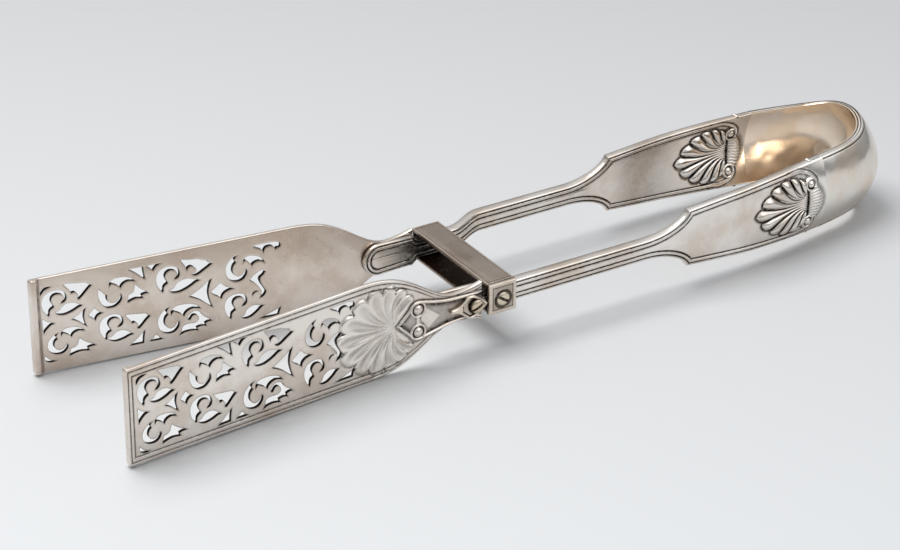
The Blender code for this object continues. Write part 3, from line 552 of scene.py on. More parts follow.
def bow_rim(side, share):
    """Point and outward direction of the rim from the arm (0) to the crown (1), on a cubic
    curve with four poles in plan."""
    spread = SIDES[side]["bow"] - ARM_DISH
    pull = BOW_REACH * 0.65
    poles = np.array([(0, spread), (pull, spread - pull * 0.17), (BOW_REACH, spread * 0.65),
                      (BOW_REACH, 0)])
    rest = 1 - share
    weights = np.stack([rest**3, 3 * rest**2 * share, 3 * rest * share**2, share**3], -1)
    steps = np.stack([rest**2, 2 * rest * share, share**2], -1)
    along = steps @ np.diff(poles, axis=0)
    outward = np.stack([-along[:, 1], along[:, 0]], -1)
    outward /= np.linalg.norm(outward, axis=1)[:, None]
    turn = ease(share / 0.3)[:, None]
    outward = np.array([0, 1]) * (1 - turn) + outward * turn
    return weights @ poles, outward / np.linalg.norm(outward, axis=1)[:, None]


# The bow is two halves that meet at the crown, each with rows of its own down the rim
bow_share = np.linspace(0, 1, 110)
bow_offsets = np.array([0.0, 0.1, 0.22, 0.36, 0.5, 0.62, 0.72, 0.8, 0.88, 0.98, 1.15, 1.5, 2.0])
rim_steps = np.linspace(0.5, 0.16, 13)
sheets, shades = {"outer": [], "inner": []}, {"outer": [], "inner": []}
for side in SIDES:
    rim, outward = bow_rim(side, bow_share)
    half = (BOW_HALF + CROWN_WIDER * np.sin(np.pi / 2 * bow_share**1.7) ** 2)[:, None]
    dish = (ARM_DISH + CROWN_DISH * ease(bow_share))[:, None]
    thick = (HANDLE_THICK - BOW_THINNED * ease(bow_share / 0.25))[:, None]
    face_rows = mirrored_levels(half[:, 0], bow_offsets, 22)
    distance = half - np.abs(face_rows)
    for face in sheets:
        cut = 0.18 * ridge(distance, FINE_LINE, 0.14) if face == "outer" else 0
        face_depth = rounded(distance, RIM_ROUND) + cut
        rim_depth = rim_steps[None, :] * thick
        line = 1.3 * ridge(rim_depth, 0.5 if face == "outer" else 0.72, 0.18)
        rim_level = half - 0.15 * line
        level = np.concatenate([-rim_level, face_rows, rim_level[:, ::-1]], axis=1)
        depth = np.concatenate([rim_depth, face_depth, rim_depth[:, ::-1]], axis=1)
        depth = depth if face == "outer" else thick - depth
        # The outside is a little greyer than the hollow, and darkest in its fine lines
        greyer = 0.1 + 1.2 * ridge(distance, FINE_LINE, 0.17)
        flat_shade = greyer if face == "outer" else 0 * distance
        shade = np.concatenate([line, flat_shade, line[:, ::-1]], axis=1)
        hollow = dish * (1 - np.minimum(1, np.abs(level) / half) ** 2) - depth
        plan = rim[:, None, :] + outward[:, None, :] * hollow[..., None]
        points = placed(side, plan[..., 0], plan[..., 1], level)
        backwards = slice(None, -1) if side == "near" else slice(None, None, -1)
        sheets[face].append(points[backwards])
        shades[face].append(shade[backwards])
sheets = {face: np.concatenate(parts) for face, parts in sheets.items()}
yellow = np.repeat([0.0, 0.6], sheets["outer"].size // 3)
bow = closed_sheet("dished_bow", sheets["outer"], sheets["inner"],
                   *(np.concatenate(shades[face]) for face in shades), yellowing=yellow)
bow.data.materials.append(silver("beaten_bow_silver", "#F8F3EC", "#EFDCC6", "#1E1611", 0.14, 3.2,
                                 dents=(125.0, 0.00055)))
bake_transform(bow)
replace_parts(bow, "bow")

# Blades. Each is one rolled sheet, sawn out and pierced by hand with rows of scrolls, with
# a two-line border struck on its outer face only. The inner face is plain, with a thickened
# lip at the tip that keeps the stalks from slipping out.
# Outlines of the openings, in tenths of a millimetre about each one's middle
SCROLLS = {
    "c_scroll": ((-16, -38), (-24, -27), (-31, -14), (-34, 2), (-32, 16), (-25, 28), (-14, 35),
        (-1, 38), (13, 37), (24, 32), (31, 24), (34, 14), (33, 5), (27, -2), (16, -4), (21, 2),
        (26, 8), (26, 17), (20, 23), (9, 26), (-1, 23), (-7, 15), (-8, 6), (-4, -4), (0, -12),
        (-8, -16), (-13, -23), (-14, -32)),
    "u_scroll": ((7, 42), (-7, 36), (-20, 24), (-28, 9), (-29, -8), (-24, -23), (-12, -36),
        (4, -41), (19, -38), (30, -26), (33, -13), (28, -6), (25, -14), (18, -23), (7, -26),
        (-3, -21), (-9, -10), (-9, 2), (-5, 12), (2, 19), (-3, 27), (0, 35)),
    "plain_u_scroll": ((-31, 34), (-34, 20), (-33, 7), (-29, -6), (-23, -17), (-16, -25),
        (-8, -30), (2, -31), (12, -30), (21, -25), (29, -17), (33, -8), (32, 1), (29, 7),
        (26, -3), (20, -13), (11, -18), (1, -17), (-7, -11), (-10, -1), (-9, 10), (-16, 13),
        (-24, 22)),
    "leaf_scroll": ((-45, -6), (-40, -14), (-28, -18), (-12, -18), (4, -13), (19, -6), (32, 2),
        (46, 7), (28, 12), (10, 18), (-7, 17), (-22, 10), (-30, -1), (-37, -6)),
    "wing": ((-46, 29), (-39, 18), (-32, 6), (-28, -10), (-24, -2), (-17, 2), (-9, 0), (-2, -7),
        (1, -15), (-4, -21), (-15, -21), (-9, -27), (-1, -29), (10, -25), (21, -18), (33, -11),
        (47, -2), (35, 3), (31, 10), (17, 14), (4, 20), (-11, 22), (-27, 24)),
    "short_wing": ((-40, 26), (-29, 13), (-21, 2), (-19, -7), (-10, -4), (-3, -8), (1, -16),
        (-3, -24), (2, -29), (13, -20), (24, -8), (34, 2), (41, 7), (29, 13), (24, 18), (4, 21),
        (-18, 24)),
    "crown": ((-44, -10), (-44, 2), (-39, 10), (-26, 16), (-9, 17), (9, 15), (25, 9), (36, 1),
        (45, -9), (34, -4), (21, -1), (9, -4), (1, -9), (-4, -15), (-6, -22), (-12, -13),
        (-20, -7), (-29, -2), (-35, 2), (-40, -3)),
    "fish": ((-31, -26), (-17, -20), (-5, -17), (7, -19), (16, -21), (10, -11), (18, -7),
        (26, -7), (32, -9), (24, -1), (13, 7), (1, 19), (-6, 30), (-9, 19), (-11, 9), (-17, 2),
        (-27, -1), (-28, -11)),
    "long_fish": ((-50, -31), (-35, -25), (-20, -23), (-5, -24), (8, -28), (1, -18), (11, -15),
        (22, -15), (32, -20), (26, -9), (35, -5), (43, -5), (52, -9), (38, 3), (24, 13),
        (17, 23), (10, 32), (-2, 36), (-14, 32), (-22, 23), (-23, 13), (-17, 11), (-13, 17),
        (-8, 23), (0, 24), (7, 19), (9, 10), (4, 2), (-6, -1), (-18, 0), (-32, -1), (-40, -7),
        (-42, -17)),
    "star_left": ((-35, 4), (-17, 13), (1, 25), (18, 40), (33, 52), (27, 33), (23, 16),
        (22, -2), (25, -22), (29, -37), (35, -52), (18, -35), (2, -19), (-16, -6)),
    "star_right": ((-34, 3), (-20, 13), (-3, 27), (10, 13), (23, 6), (39, 0), (25, -2),
        (12, -7), (3, -16), (0, -27), (-8, -18), (-20, -10)),
    "sail": ((-24, 15), (18, 15), (19, 0), (23, -26), (11, -14), (-4, 0)),
    "fin": ((-21, 7), (1, 8), (25, 8), (10, 1), (0, -11), (-8, -2)),
    "half_star": ((-17, 23), (-6, 13), (6, 7), (20, 3), (7, -1), (-4, -10), (-11, -18),
        (-15, -25)),
    "crescent": ((-16, -13), (-16, -1), (-10, 7), (2, 11), (18, 9), (3, 5), (-5, 1), (-10, -5)),
    "heel_curl": ((-38, 13), (-24, 4), (-10, -4), (-6, -14), (-2, -2), (6, 3), (18, 3),
        (26, -3), (29, -12), (34, -5), (42, -6), (44, 2), (40, 11), (22, 14), (-10, 14)),
    "shell_star": ((-26, 19), (-16, 31), (-4, 40), (11, 47), (21, 39), (14, 30), (6, 23),
        (5, 11), (10, -3), (17, -16), (22, -26), (16, -38), (1, -46), (7, -33), (7, -20),
        (0, -6), (-9, 6), (-18, 14)),
}
# Outline, place along from the tip and level in centimetres, shares of its width and
# height, and turn in degrees
OPENINGS = (
    ("c_scroll", 0.67, 0.62, 1.03, 1.00, 0), ("c_scroll", 2.23, -0.46, 1.00, 1.00, 0),
    ("c_scroll", 3.89, 0.66, 1.00, 1.00, 0), ("c_scroll", 5.81, -0.60, 0.97, 1.00, 0),
    ("u_scroll", 0.69, -0.64, 0.93, 0.80, 0), ("plain_u_scroll", 2.24, 0.45, 1.00, 1.00, 0),
    ("u_scroll", 3.84, -0.62, 1.00, 1.00, 0), ("u_scroll", 5.84, 0.57, 1.00, 1.00, 0),
    ("leaf_scroll", 1.08, 0.37, 0.85, 0.95, -7), ("leaf_scroll", 2.49, -0.79, 0.80, 0.95, -14),
    ("leaf_scroll", 4.36, 0.38, 1.00, 1.00, 0), ("leaf_scroll", 6.30, -0.86, 0.78, 0.90, 9),
    ("short_wing", 1.34, 0.88, 1.00, 1.00, 0), ("short_wing", 2.98, -0.42, 0.91, 0.93, 0),
    ("wing", 4.71, 0.90, 1.00, 1.00, 0), ("crown", 1.15, -0.35, 0.78, 0.80, 0),
    ("crown", 2.60, 0.86, 0.86, 0.88, 0), ("crown", 4.37, -0.38, 1.00, 1.00, 0),
    ("crown", 6.39, 0.71, 0.75, 0.85, -12), ("fish", 1.40, -0.86, 1.28, 0.88, 0),
    ("fish", 3.02, 0.43, 1.00, 0.95, 0), ("long_fish", 4.64, -0.85, 1.00, 1.00, 0),
    ("star_left", 1.34, 0.00, 0.62, 0.58, 0), ("star_right", 1.80, 0.03, 0.58, 0.75, 0),
    ("star_left", 4.81, -0.04, 1.00, 0.90, 0), ("star_right", 5.41, -0.03, 0.95, 0.95, 0),
    ("sail", 3.02, 1.05, 1.00, 1.00, 0), ("sail", 2.95, -1.01, 1.00, -1.00, 0),
    ("sail", 6.79, -1.06, 1.50, -0.60, 0), ("fin", 3.48, 1.12, 1.00, 1.00, 0),
    ("fin", 3.48, -1.08, 1.00, -1.00, 0), ("half_star", 0.48, -0.02, 1.00, 1.00, 0),
    ("crescent", 0.46, 1.05, 1.00, 1.00, 0), ("crescent", 0.48, -1.06, 1.00, -1.00, 0),
    ("heel_curl", 6.72, 1.03, 1.00, 1.00, 0), ("crescent", 6.39, -0.31, 0.60, 0.60, 0),
    ("shell_star", 6.49, -0.07, 1.00, 0.95, 0),
)
HEEL_X, NECK_X = -158.0, -128.0
BLADE_HALF, TANG_HALF, FIELD_THINNED, LIP_LONG = 15.0, 4.4, 0.25, 2.1
THIN_FROM_X, SCREW_X, SCREW_HOLE = -143.0, -121.7, 1.3
# How far in from the edge the rows of the grid lie in the blade's border
BLADE_OFFSETS = np.array([
    0.0, 0.1, 0.22, 0.36, 0.55, 0.75, 0.88, 0.96, 1.04, 1.12, 1.25, 1.5, 1.8, 2.1, 2.25, 2.34,
    2.42, 2.5, 2.62, 2.8])


def blade_half_width(x):
    """Half height of a blade: the long field tapers evenly, half a cosine wave leads from the
    heel to the neck, and the tang widens with the square of the way; the tip's corners are
    quarter rounds."""
    field = BLADE_HALF - 0.5 * (HEEL_X - x) / (HEEL_X - TIP_X)
    share = np.clip((x - HEEL_X) / (NECK_X - HEEL_X), 0, 1)
    heel = TANG_HALF + (BLADE_HALF - TANG_HALF) * (1 + np.cos(np.pi * share**1.5)) / 2
    tang = TANG_HALF + 1.4 * np.clip((x - NECK_X) / (TANG_END_X - NECK_X), 0, 1) ** 2
    half = np.where(x <= HEEL_X, field, np.where(x <= NECK_X, heel, tang))
    return half - rounded(x - TIP_X, 0.8)


def smooth_loop(outline, steps):
    """Closed curve of cubic spans through an outline's points: where it turns by less than
    55 degrees, both spans at a point share the mean slope, and past that it has a corner."""
    before, after = outline - np.roll(outline, 1, axis=0), np.roll(outline, -1, axis=0) - outline
    cross = before[:, 0] * after[:, 1] - before[:, 1] * after[:, 0]
    turn = np.abs(np.arctan2(cross, (before * after).sum(1)))
    corner = (turn > math.radians(55))[:, None]
    leave = np.where(corner, after, (before + after) / 2)
    arrive = np.roll(np.where(corner, before, (before + after) / 2), -1, axis=0)
    return cubic_spans(outline, np.roll(outline, -1, axis=0), leave, arrive, steps)


def loop_field(x, level, loop):
    """Signed distance to a closed loop, less than zero inside it: the least distance to one
    of its steps, and inside where a line drawn one way meets an odd number of steps."""
    start, step = loop, np.roll(loop, -1, axis=0) - loop
    gap_x, gap_y = x[..., None] - start[:, 0], level[..., None] - start[:, 1]
    size = np.maximum((step**2).sum(1), 1e-12)
    t = np.clip((gap_x * step[:, 0] + gap_y * step[:, 1]) / size, 0, 1)
    away = np.sqrt(((gap_x - t * step[:, 0]) ** 2 + (gap_y - t * step[:, 1]) ** 2).min(-1))
    end = start + step
    spans = (start[:, 1] > level[..., None]) != (end[:, 1] > level[..., None])
    rise = np.where(np.abs(step[:, 1]) < 1e-9, 1e-9, step[:, 1])
    meets = x[..., None] < start[:, 0] + gap_y / rise * step[:, 0]
    return np.where((spans & meets).sum(-1) % 2 == 1, -away, away)


def turned_by(degrees, x, level):
    """Place after a turn in a face's plane."""
    cos, sin = math.cos(math.radians(degrees)), math.sin(math.radians(degrees))
    return x * cos - level * sin, x * sin + level * cos


def opening_loops():
    """Outline of every opening, smoothed, turned and moved to its place on the blade."""
    loops = []
    for name, along, level, wide, tall, turn in OPENINGS:
        shape = smooth_loop(np.array(SCROLLS[name]) * (wide, tall) / 10, 6)
        shape = np.stack(turned_by(turn, *shape.T), -1)
        loops.append(shape + (along * 10 + TIP_X, level * 10))
    return loops


def cut_sheet(points, triangles, field):
    """Cuts a flat sheet of triangles where its field falls below zero: each new point divides
    a side in the ratio of the field at its ends, and both triangles there share it."""
    kept = field > 0
    count = kept[triangles].sum(1)
    whole = triangles[count == 3]
    pieces, pairs = [], []
    for wanted in (1, 2):
        part = triangles[count == wanted]
        lone = kept[part] if wanted == 1 else ~kept[part]
        first = lone.argmax(1)
        rows = np.arange(len(part))
        part = np.stack([part[rows, (first + k) % 3] for k in range(3)], -1)
        pieces.append(part)
        pairs += [part[:, [0, 1]], part[:, [0, 2]]]
    joined = np.sort(np.concatenate(pairs), axis=1)
    keys = joined[:, 0] * len(points) + joined[:, 1]
    unique, where = np.unique(keys, return_inverse=True)
    a, b = unique // len(points), unique % len(points)
    t = (field[a] / (field[a] - field[b]))[:, None]
    fresh = points[a] * (1 - t) + points[b] * t
    where = where.reshape(-1) + len(points)
    one, two = len(pieces[0]), len(pieces[1])
    ab1, ac1 = where[:one], where[one:2 * one]
    ab2, ac2 = where[2 * one:2 * one + two], where[2 * one + two:]
    made = [whole, np.stack([pieces[0][:, 0], ab1, ac1], -1),
            np.stack([ab2, pieces[1][:, 1], pieces[1][:, 2]], -1),
            np.stack([ab2, pieces[1][:, 2], ac2], -1)]
    all_points = np.concatenate([points, fresh])
    triangles = np.concatenate(made)
    used, renamed = np.unique(triangles, return_inverse=True)
    return all_points[used], renamed.reshape(-1, 3)


blade_columns = np.unique(np.concatenate([
    TIP_X + np.array([0.0, 0.06, 0.14, 0.24, 0.36, 0.5, 0.62, 0.72, 0.8, 0.9, 1.05, 1.3, 1.55,
                      1.68, 1.78, 1.88, 2.05]),
    np.linspace(TIP_X + 2.3, -150.0, 300), np.linspace(-150, NECK_X, 72),
    np.linspace(NECK_X, TANG_END_X, 26)]))
blade_halves = blade_half_width(blade_columns)
blade_levels = mirrored_levels(blade_halves, BLADE_OFFSETS, 41)
blade_x = np.repeat(blade_columns[:, None], blade_levels.shape[1], axis=1)
field = np.full(blade_x.shape, 9.0)
for loop in opening_loops():
    # Distances are only worked out within a millimetre of the opening
    low, high = loop.min(axis=0) - 1, loop.max(axis=0) + 1
    columns = np.nonzero((blade_columns > low[0]) & (blade_columns < high[0]))[0]
    column = blade_levels[columns[0]]
    window = np.ix_(columns, np.nonzero((column > low[1]) & (column < high[1]))[0])
    inside = loop_field(blade_x[window], blade_levels[window], loop)
    field[window] = np.minimum(field[window], inside)
field = np.minimum(field, np.hypot(blade_x - SCREW_X, blade_levels) - SCREW_HOLE)
index = np.arange(field.size).reshape(field.shape)
a, b, c, d = index[:-1, :-1], index[1:, :-1], index[1:, 1:], index[:-1, 1:]
halves = [np.stack(corners, -1).reshape(-1, 3) for corners in ((a, b, c), (a, c, d))]
flat = np.stack([blade_x.ravel(), blade_levels.ravel(), field.ravel()], -1)
flat, triangles = cut_sheet(flat, np.concatenate(halves), field.ravel())
flat_x, flat_level, flat_field = flat.T
slope = np.gradient(blade_halves, blade_columns)
lean_here = np.cos(np.arctan(np.interp(flat_x, blade_columns[20:], slope[20:])))
side_distance = (blade_half_width(flat_x) - np.abs(flat_level)) * lean_here
side_distance = side_distance / (1 - 0.42 * ease((flat_x + 152) / 16))
blade_distance = np.minimum(side_distance, (flat_x - TIP_X) * 1.3)
grooves = 0.16 * ridge(blade_distance, 1.0, 0.15) + 0.18 * ridge(blade_distance, 2.42, 0.16)
round_edge = rounded(blade_distance, 0.3)
thread = 0.07 * np.maximum(0, 1 - ((blade_distance - 1.7) / 0.72) ** 2)
from_saw = np.maximum(flat_field, 0)
saw_edge = 0.06 * np.exp(-from_saw / 0.1)

# The heel's scallop of thirteen hollow flutes fans from the frame's point: each ends in a
# round lip, soft ribs run in from the cusps, leave the root almost level and turn outward
FAN_PLACE, FAN_FLUTES, FAN_SPREAD = (-146.0, -0.5), 13, math.radians(131)
FAN_LENGTH, FAN_SHORTER, FAN_MEAN, FLUTE_LIP = 21.2, 0.62, 14.0, 2.2
fan_reach = np.hypot(flat_x - FAN_PLACE[0], flat_level - FAN_PLACE[1])
fan_angle = np.arctan2(flat_level - FAN_PLACE[1], FAN_PLACE[0] - flat_x)
fan_side = fan_angle / FAN_SPREAD
# A flute's line is bent, so its share of the fan is found by going round a few times
for _ in range(5):
    fan_share = fan_reach / (FAN_LENGTH * (1 - FAN_SHORTER * np.minimum(1, np.abs(fan_side))))
    fan_side = fan_angle / (FAN_SPREAD * (1 - 0.6 * np.maximum(0, 1 - fan_share)))
fan_across = 2 * np.mod((fan_side + 1) / 2 * FAN_FLUTES, 1) - 1
fan_tip = 1 - 0.15 * (1 - np.sqrt(np.maximum(0, 1 - fan_across**2)))
in_fan = np.abs(fan_side) < 1
fan_share = np.where(in_fan, fan_share / fan_tip, 2)
fan_left = (1 - fan_share) * FAN_MEAN
fan_round = np.sqrt(np.clip(1 - (1 - fan_left / FLUTE_LIP).clip(0) ** 2, 0, 1)) * (fan_left > 0)
fan_hollow = (0.5 + 0.5 * np.cos(np.pi * fan_across)) * (1 - 0.9 * ridge(fan_left, 0.7, 1.3))
fan_rise = fan_round * (0.03 + (0.08 + 0.6 * ease(fan_share / 0.8)) * (1 - 0.8 * fan_hollow))
fan_line = ridge(fan_left, -0.15, 0.32) * in_fan
# The flutes' hollows are painted a little darker as painted shade; the lobes' edges and the cusps
# between lobes keep dark oxide
fan_shade = greatest(0.3 * fan_line, 0.2 * fan_round * fan_hollow,
                     1.2 * fan_line * ease((np.abs(fan_across) - 0.55) / 0.4))

# The frame behind it: two threads that meet in a point, each bent round a bead, with a flat
# lozenge between them
BAR_X, RING_RADIUS = -140.0, 2.2
FRAME_BEADS = ((BAR_X, 3.0), (BAR_X, -3.9))
FRAME_LINES = [smooth_line(line, 10) for line in (
    [(-119.8, 2.7), (-125.0, 2.85), (-130.0, 3.1), (-134.5, 3.9), (-138.0, 4.8), (-140.3, 5.1),
     (-141.8, 4.4), (-142.6, 3.2), (-144.5, 1.2), (-146.3, -0.5)],
    [(-119.8, -2.9), (-125.0, -3.6), (-130.0, -4.1), (-134.0, -4.9), (-137.5, -5.6),
     (-140.2, -6.0), (-141.7, -5.4), (-142.5, -4.3), (-144.4, -2.4), (-146.3, -0.5)])]
LOZENGE = np.array([(-138.0, 3.4), (-132.5, -0.7), (-136.9, -4.0), (-139.2, -0.3)])
frame_zone = (flat_x > -149) & (flat_x < -118)
frame_distance = np.full(len(flat), 9.0)
frame_distance[frame_zone] = np.minimum(*(
    outline_distance(flat_x[frame_zone], flat_level[frame_zone], *line) for line in FRAME_LINES))
upper_line, lower_line = (np.interp(flat_x, x[::-1], level[::-1]) for x, level in FRAME_LINES)
in_frame = frame_zone & (flat_level < upper_line) & (flat_level > lower_line) & (flat_x > -146.3)
fan_rise, fan_shade = (np.where(in_frame, 0, value) for value in (fan_rise, fan_shade))
frame_shade = greatest(
    np.where(in_frame, 0.4 + 0.55 * ridge(frame_distance, 0.6, 0.9), 0),
    0.95 * ridge(frame_distance, 0.72, 0.28),
    *(1.2 * ridge(np.hypot(flat_x - x, flat_level - level), 1.68, 0.28)
      for x, level in FRAME_BEADS))
frame_rise = -0.14 * ridge(frame_distance, 0.78, 0.22)
outer_rise = thread - grooves - round_edge - saw_edge + np.maximum(fan_rise, frame_rise)
outer_rise = outer_rise - 0.12 * fan_line
lip = np.exp(-(((flat_x - TIP_X) / LIP_LONG) ** 6))
thinned = FIELD_THINNED * ease((THIN_FROM_X - flat_x) / 8)
inner_rise = lip - round_edge - saw_edge - thinned
outer_shade = greatest(
    ridge(blade_distance, 1.0, 0.2), ridge(blade_distance, 2.42, 0.24),
    0.6 * np.exp(-from_saw / 0.12), fan_shade, frame_shade)
inner_shade = np.maximum(0.45 * np.exp(-from_saw / 0.1), 0.6 * ridge(flat_x - TIP_X, 2.55, 0.3))

# A side that belongs to one triangle alone is on the sheet's border, and gets a wall
half_edges = np.concatenate([triangles[:, [0, 1]], triangles[:, [1, 2]], triangles[:, [2, 0]]])
keys = np.sort(half_edges, axis=1) @ np.array([len(flat), 1])
unique, first, count = np.unique(keys, return_index=True, return_counts=True)
border = half_edges[first[count == 1]]


def on_blade(side, face, x, level, rise):
    """Point on a blade's outer or inner face, raised off it."""
    y = outer_face(side, x)
    return placed(side, x, y + rise if face == "outer" else y - BLADE_SHEET - rise, level)


# The lozenge is a small table of four corners with one step down all round
across_share, down_share = np.meshgrid(np.linspace(0, 1, 15), np.linspace(0, 1, 15),
                                       indexing="ij")
weights = np.stack([(1 - across_share) * (1 - down_share), across_share * (1 - down_share),
                    across_share * down_share, (1 - across_share) * down_share], -1)
lozenge_x, lozenge_level = np.moveaxis(weights @ LOZENGE, -1, 0)
from_side = np.minimum.reduce([across_share, 1 - across_share, down_share, 1 - down_share])
step_down = from_side < 0.01
ring_turn = np.radians(np.linspace(60, 420, 56))
bar = np.stack([np.full(24, BAR_X), np.linspace(2.1, -3.0, 24)])
blade_silver = silver("pierced_sheet_silver", "#ECE5DD", "#D2C3B6", "#1B130F", 0.26)
for side in SIDES:
    count = len(flat)
    points = np.concatenate([on_blade(side, "outer", flat_x, flat_level, outer_rise),
                             on_blade(side, "inner", flat_x, flat_level, inner_rise)])
    # Saw-cut walls have points of their own, so the oxide and painted shade on them end at the
    # face
    wall_points = points[np.concatenate([border[:, 0], border[:, 0] + count])]
    place_of = np.full(count, -1)
    place_of[border[:, 0]] = np.arange(len(border)) + 2 * count
    one, two = place_of[border[:, 0]], place_of[border[:, 1]]
    walls = np.stack([two, one, one + len(border), two + len(border)], -1)
    faces = [triangles, triangles[:, ::-1] + count, walls]
    if SIDES[side]["sign"] > 0:
        faces = [f[:, ::-1] for f in faces]
    # The saw-cut walls are painted near black: oxide in the piercings and painted shade on the
    # walls
    saw_wall_oxide_and_shade = np.where(np.abs(flat_field[border[:, 0]]) < 1e-6, 1.5, 0.1)
    shade = np.concatenate([outer_shade, inner_shade, saw_wall_oxide_and_shade, saw_wall_oxide_and_shade])
    yellow = np.concatenate([0 * flat_x, 0.3 + 0 * flat_x, np.zeros(2 * len(border))])
    points = np.concatenate([points, wall_points])
    blade = new_mesh(side + "_blade_pierced", points, faces, shade, 40, yellow)
    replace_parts(dress(blade, blade_silver, side + "_side"), side + "_blade")
    # Threads, beads, bar and lozenge stand on the sheet, struck with it
    prefix, place = side + "_frame_", (on_blade, side, "outer")
    pieces = [swept_thread(prefix + word, place, line, 0.5, (0.55, 0.7))
              for word, line in zip(("upper", "lower"), FRAME_LINES)]
    for word, centre, sign in zip(("upper", "lower"), FRAME_BEADS, (1, -1)):
        pieces.append(bead(prefix + word + "_bead", place, centre, 1.5, 1.15))
        ring = np.stack([-np.cos(ring_turn), sign * np.sin(ring_turn)])
        ring = np.array(centre)[:, None] + RING_RADIUS * ring
        pieces.append(swept_thread(prefix + word + "_ring", place, ring, 0.44, (0.65, 0.65)))
    pieces.append(swept_thread(prefix + "bar", place, bar, 0.62, (0.6, 0.6)))
    pieces.append(standing(prefix + "lozenge", place, lozenge_x, lozenge_level,
                           np.where(step_down, 0.12, 0.24), 0.6 * step_down, -0.3, 0.0))
    for piece in pieces:
        dress(piece, blade_silver, side + "_side")

# Leaf plates. A small cast leaf lies on each blade's tang, under its screw: a bud at one end,
# a raised rim all round, and a sunk ground that has gone dark about the screw's head.
LEAF_SCREW = (SCREW_X, -0.6)
BUD_X, BUD_HALF, LEAF_LEFT_X, LEAF_RIGHT_X, GROUND_X = -129.35, 0.6, -129.95, -118.2, -126.4


def leaf_half_width(x):
    """Half height of a leaf plate: a half circle for the bud, then a power of the way for the
    hollow neck and a power of a cosine for the point, blended where they meet."""
    bud = np.sqrt(np.maximum(0, BUD_HALF**2 - np.minimum(0, x - BUD_X) ** 2))
    flare = BUD_HALF + 3.1 * ((x - BUD_X) / 4.95).clip(0, None) ** 2.1
    point = 3.75 * np.cos(np.clip((x + 124.6) / 6.4, 0, 1) * np.pi / 2) ** 0.8
    body = (flare**-6 + np.maximum(point, 0.05) ** -6) ** (-1 / 6)
    return np.where(x < BUD_X, bud, body) + 0.02


leaf_stations = np.concatenate([
    LEAF_LEFT_X + 0.95 * np.linspace(0, 1, 12)[:-1] ** 2,
    np.linspace(-129.0, -124.4, 44)[:-1], np.linspace(-124.4, LEAF_RIGHT_X + 0.1, 60)])
leaf_rows = np.sin(np.linspace(-1, 1, 71) * np.pi / 2)
leaf_x = np.repeat(leaf_stations[:, None], len(leaf_rows), axis=1)
leaf_level = leaf_half_width(leaf_x) * leaf_rows
edge = np.linspace(LEAF_LEFT_X, LEAF_RIGHT_X, 500)
leaf_inside = outline_distance(leaf_x, np.abs(leaf_level), edge, leaf_half_width(edge))
leaf_level = leaf_level + LEAF_SCREW[1]
sunk_share = ease((leaf_inside - 0.8) / 0.22) * ease((leaf_x - GROUND_X - 0.2) / 0.7)
around_screw = np.hypot(leaf_x - LEAF_SCREW[0], leaf_level - LEAF_SCREW[1])
from_rim = 1 - leaf_inside / 0.45
rim_round = np.where(leaf_x > GROUND_X, np.abs(from_rim), from_rim)
leaf_rise = 1.4 - 0.35 * rim_round.clip(0, 1) ** 2 - 0.35 * sunk_share
leaf_shade = np.maximum(
    sunk_share * np.maximum(0.3, 1.2 * ridge(around_screw, 2.2, 0.6)),
    1.1 * ridge(leaf_inside, 0.95, 0.13) * ease((leaf_x - GROUND_X) / 0.7))
plate_silver = silver("cast_leaf_silver", "#F2EAE0", "#D5C5B4", "#1A120E", 0.18, shelter=0.0004)
for side in SIDES:
    leaf = standing(side + "_leaf_cast", (on_blade, side, "outer"), leaf_x, leaf_level,
                    leaf_rise, leaf_shade, -0.05, 0.9)
    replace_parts(dress(leaf, plate_silver, side + "_side"), side + "_leaf_plate")

# Guide. Four plates of thicker sheet, soldered into a frame that both arms pass through. The
# long plates are dull and brown from handling, with fine engraved lines; the near end has a
# framed panel. Inside, where no cloth reaches, it is painted almost black: oxide and painted
# shade.
GUIDE_RIGHT_X, GUIDE_NEAR_Y, GUIDE_FAR_Y, GUIDE_HALF, GUIDE_CLEAR = -109.2, -22.9, 17.0, 4.6, 3.3
PANEL_WIDE, PLATE_ROUND, INSIDE_OXIDE_AND_SHADE = 8.8, 0.35, 1.15


def engraved_plate(name, low, high, axis, sign, cut):
    """Plate between two corners, its outer face towards one axis direction: the face's edges
    are rounded, and cut(u, v) gives how deep each place is engraved and how dark."""
    low, high = np.array(low, float), np.array(high, float)
    one, two = [k for k in range(3) if k != axis]
    lines = []
    for k in (one, two):
        edge = np.array([0.0, 0.05, 0.12, 0.22, PLATE_ROUND])
        middle = np.linspace(low[k] + 0.45, high[k] - 0.45, int((high[k] - low[k]) / 0.13) + 2)
        lines.append(np.concatenate([low[k] + edge, middle, high[k] - edge[::-1]]))
    u, v = np.meshgrid(*lines, indexing="ij")
    margin = np.minimum.reduce([u - low[one], high[one] - u, v - low[two], high[two] - v])
    corner = rounded(margin, PLATE_ROUND)
    depth, stain = cut(u - low[one], v - low[two])
    front, back = (high[axis], low[axis]) if sign > 0 else (low[axis], high[axis])
    sheets = []
    for plane, into in ((front, -sign * (corner + depth)), (back, sign * 0.3 * corner)):
        sheet = np.empty(u.shape + (3,))
        sheet[..., one], sheet[..., two], sheet[..., axis] = u, v, plane + into
        sheets.append(sheet)
    # The back faces, inside the guide, are painted near black with oxide and painted shade
    return closed_sheet(name, *sheets, stain, INSIDE_OXIDE_AND_SHADE)


def long_plate_cut(u, v):
    """Two engraved lines beside the edge towards the blades and one beside the other, with a
    cross line at each end; u runs towards the handles and v across the tongs."""
    far_line = GUIDE_FAR_Y - GUIDE_NEAR_Y - 1.0
    line = greatest(ridge(u, 1.1, 0.14), 0.8 * ridge(u, 1.8, 0.12), ridge(u, 8.0, 0.14),
                    ridge(v, 1.1, 0.14), ridge(v, far_line, 0.14))
    # The plate is darker towards the far side, but not by the end towards the blades
    far_side_darkening = 0.3 * ease((v - 4) / 14) * ease((u - 1.6) / 0.5)
    return 0.12 * line, np.maximum(0.95 * line, far_side_darkening)


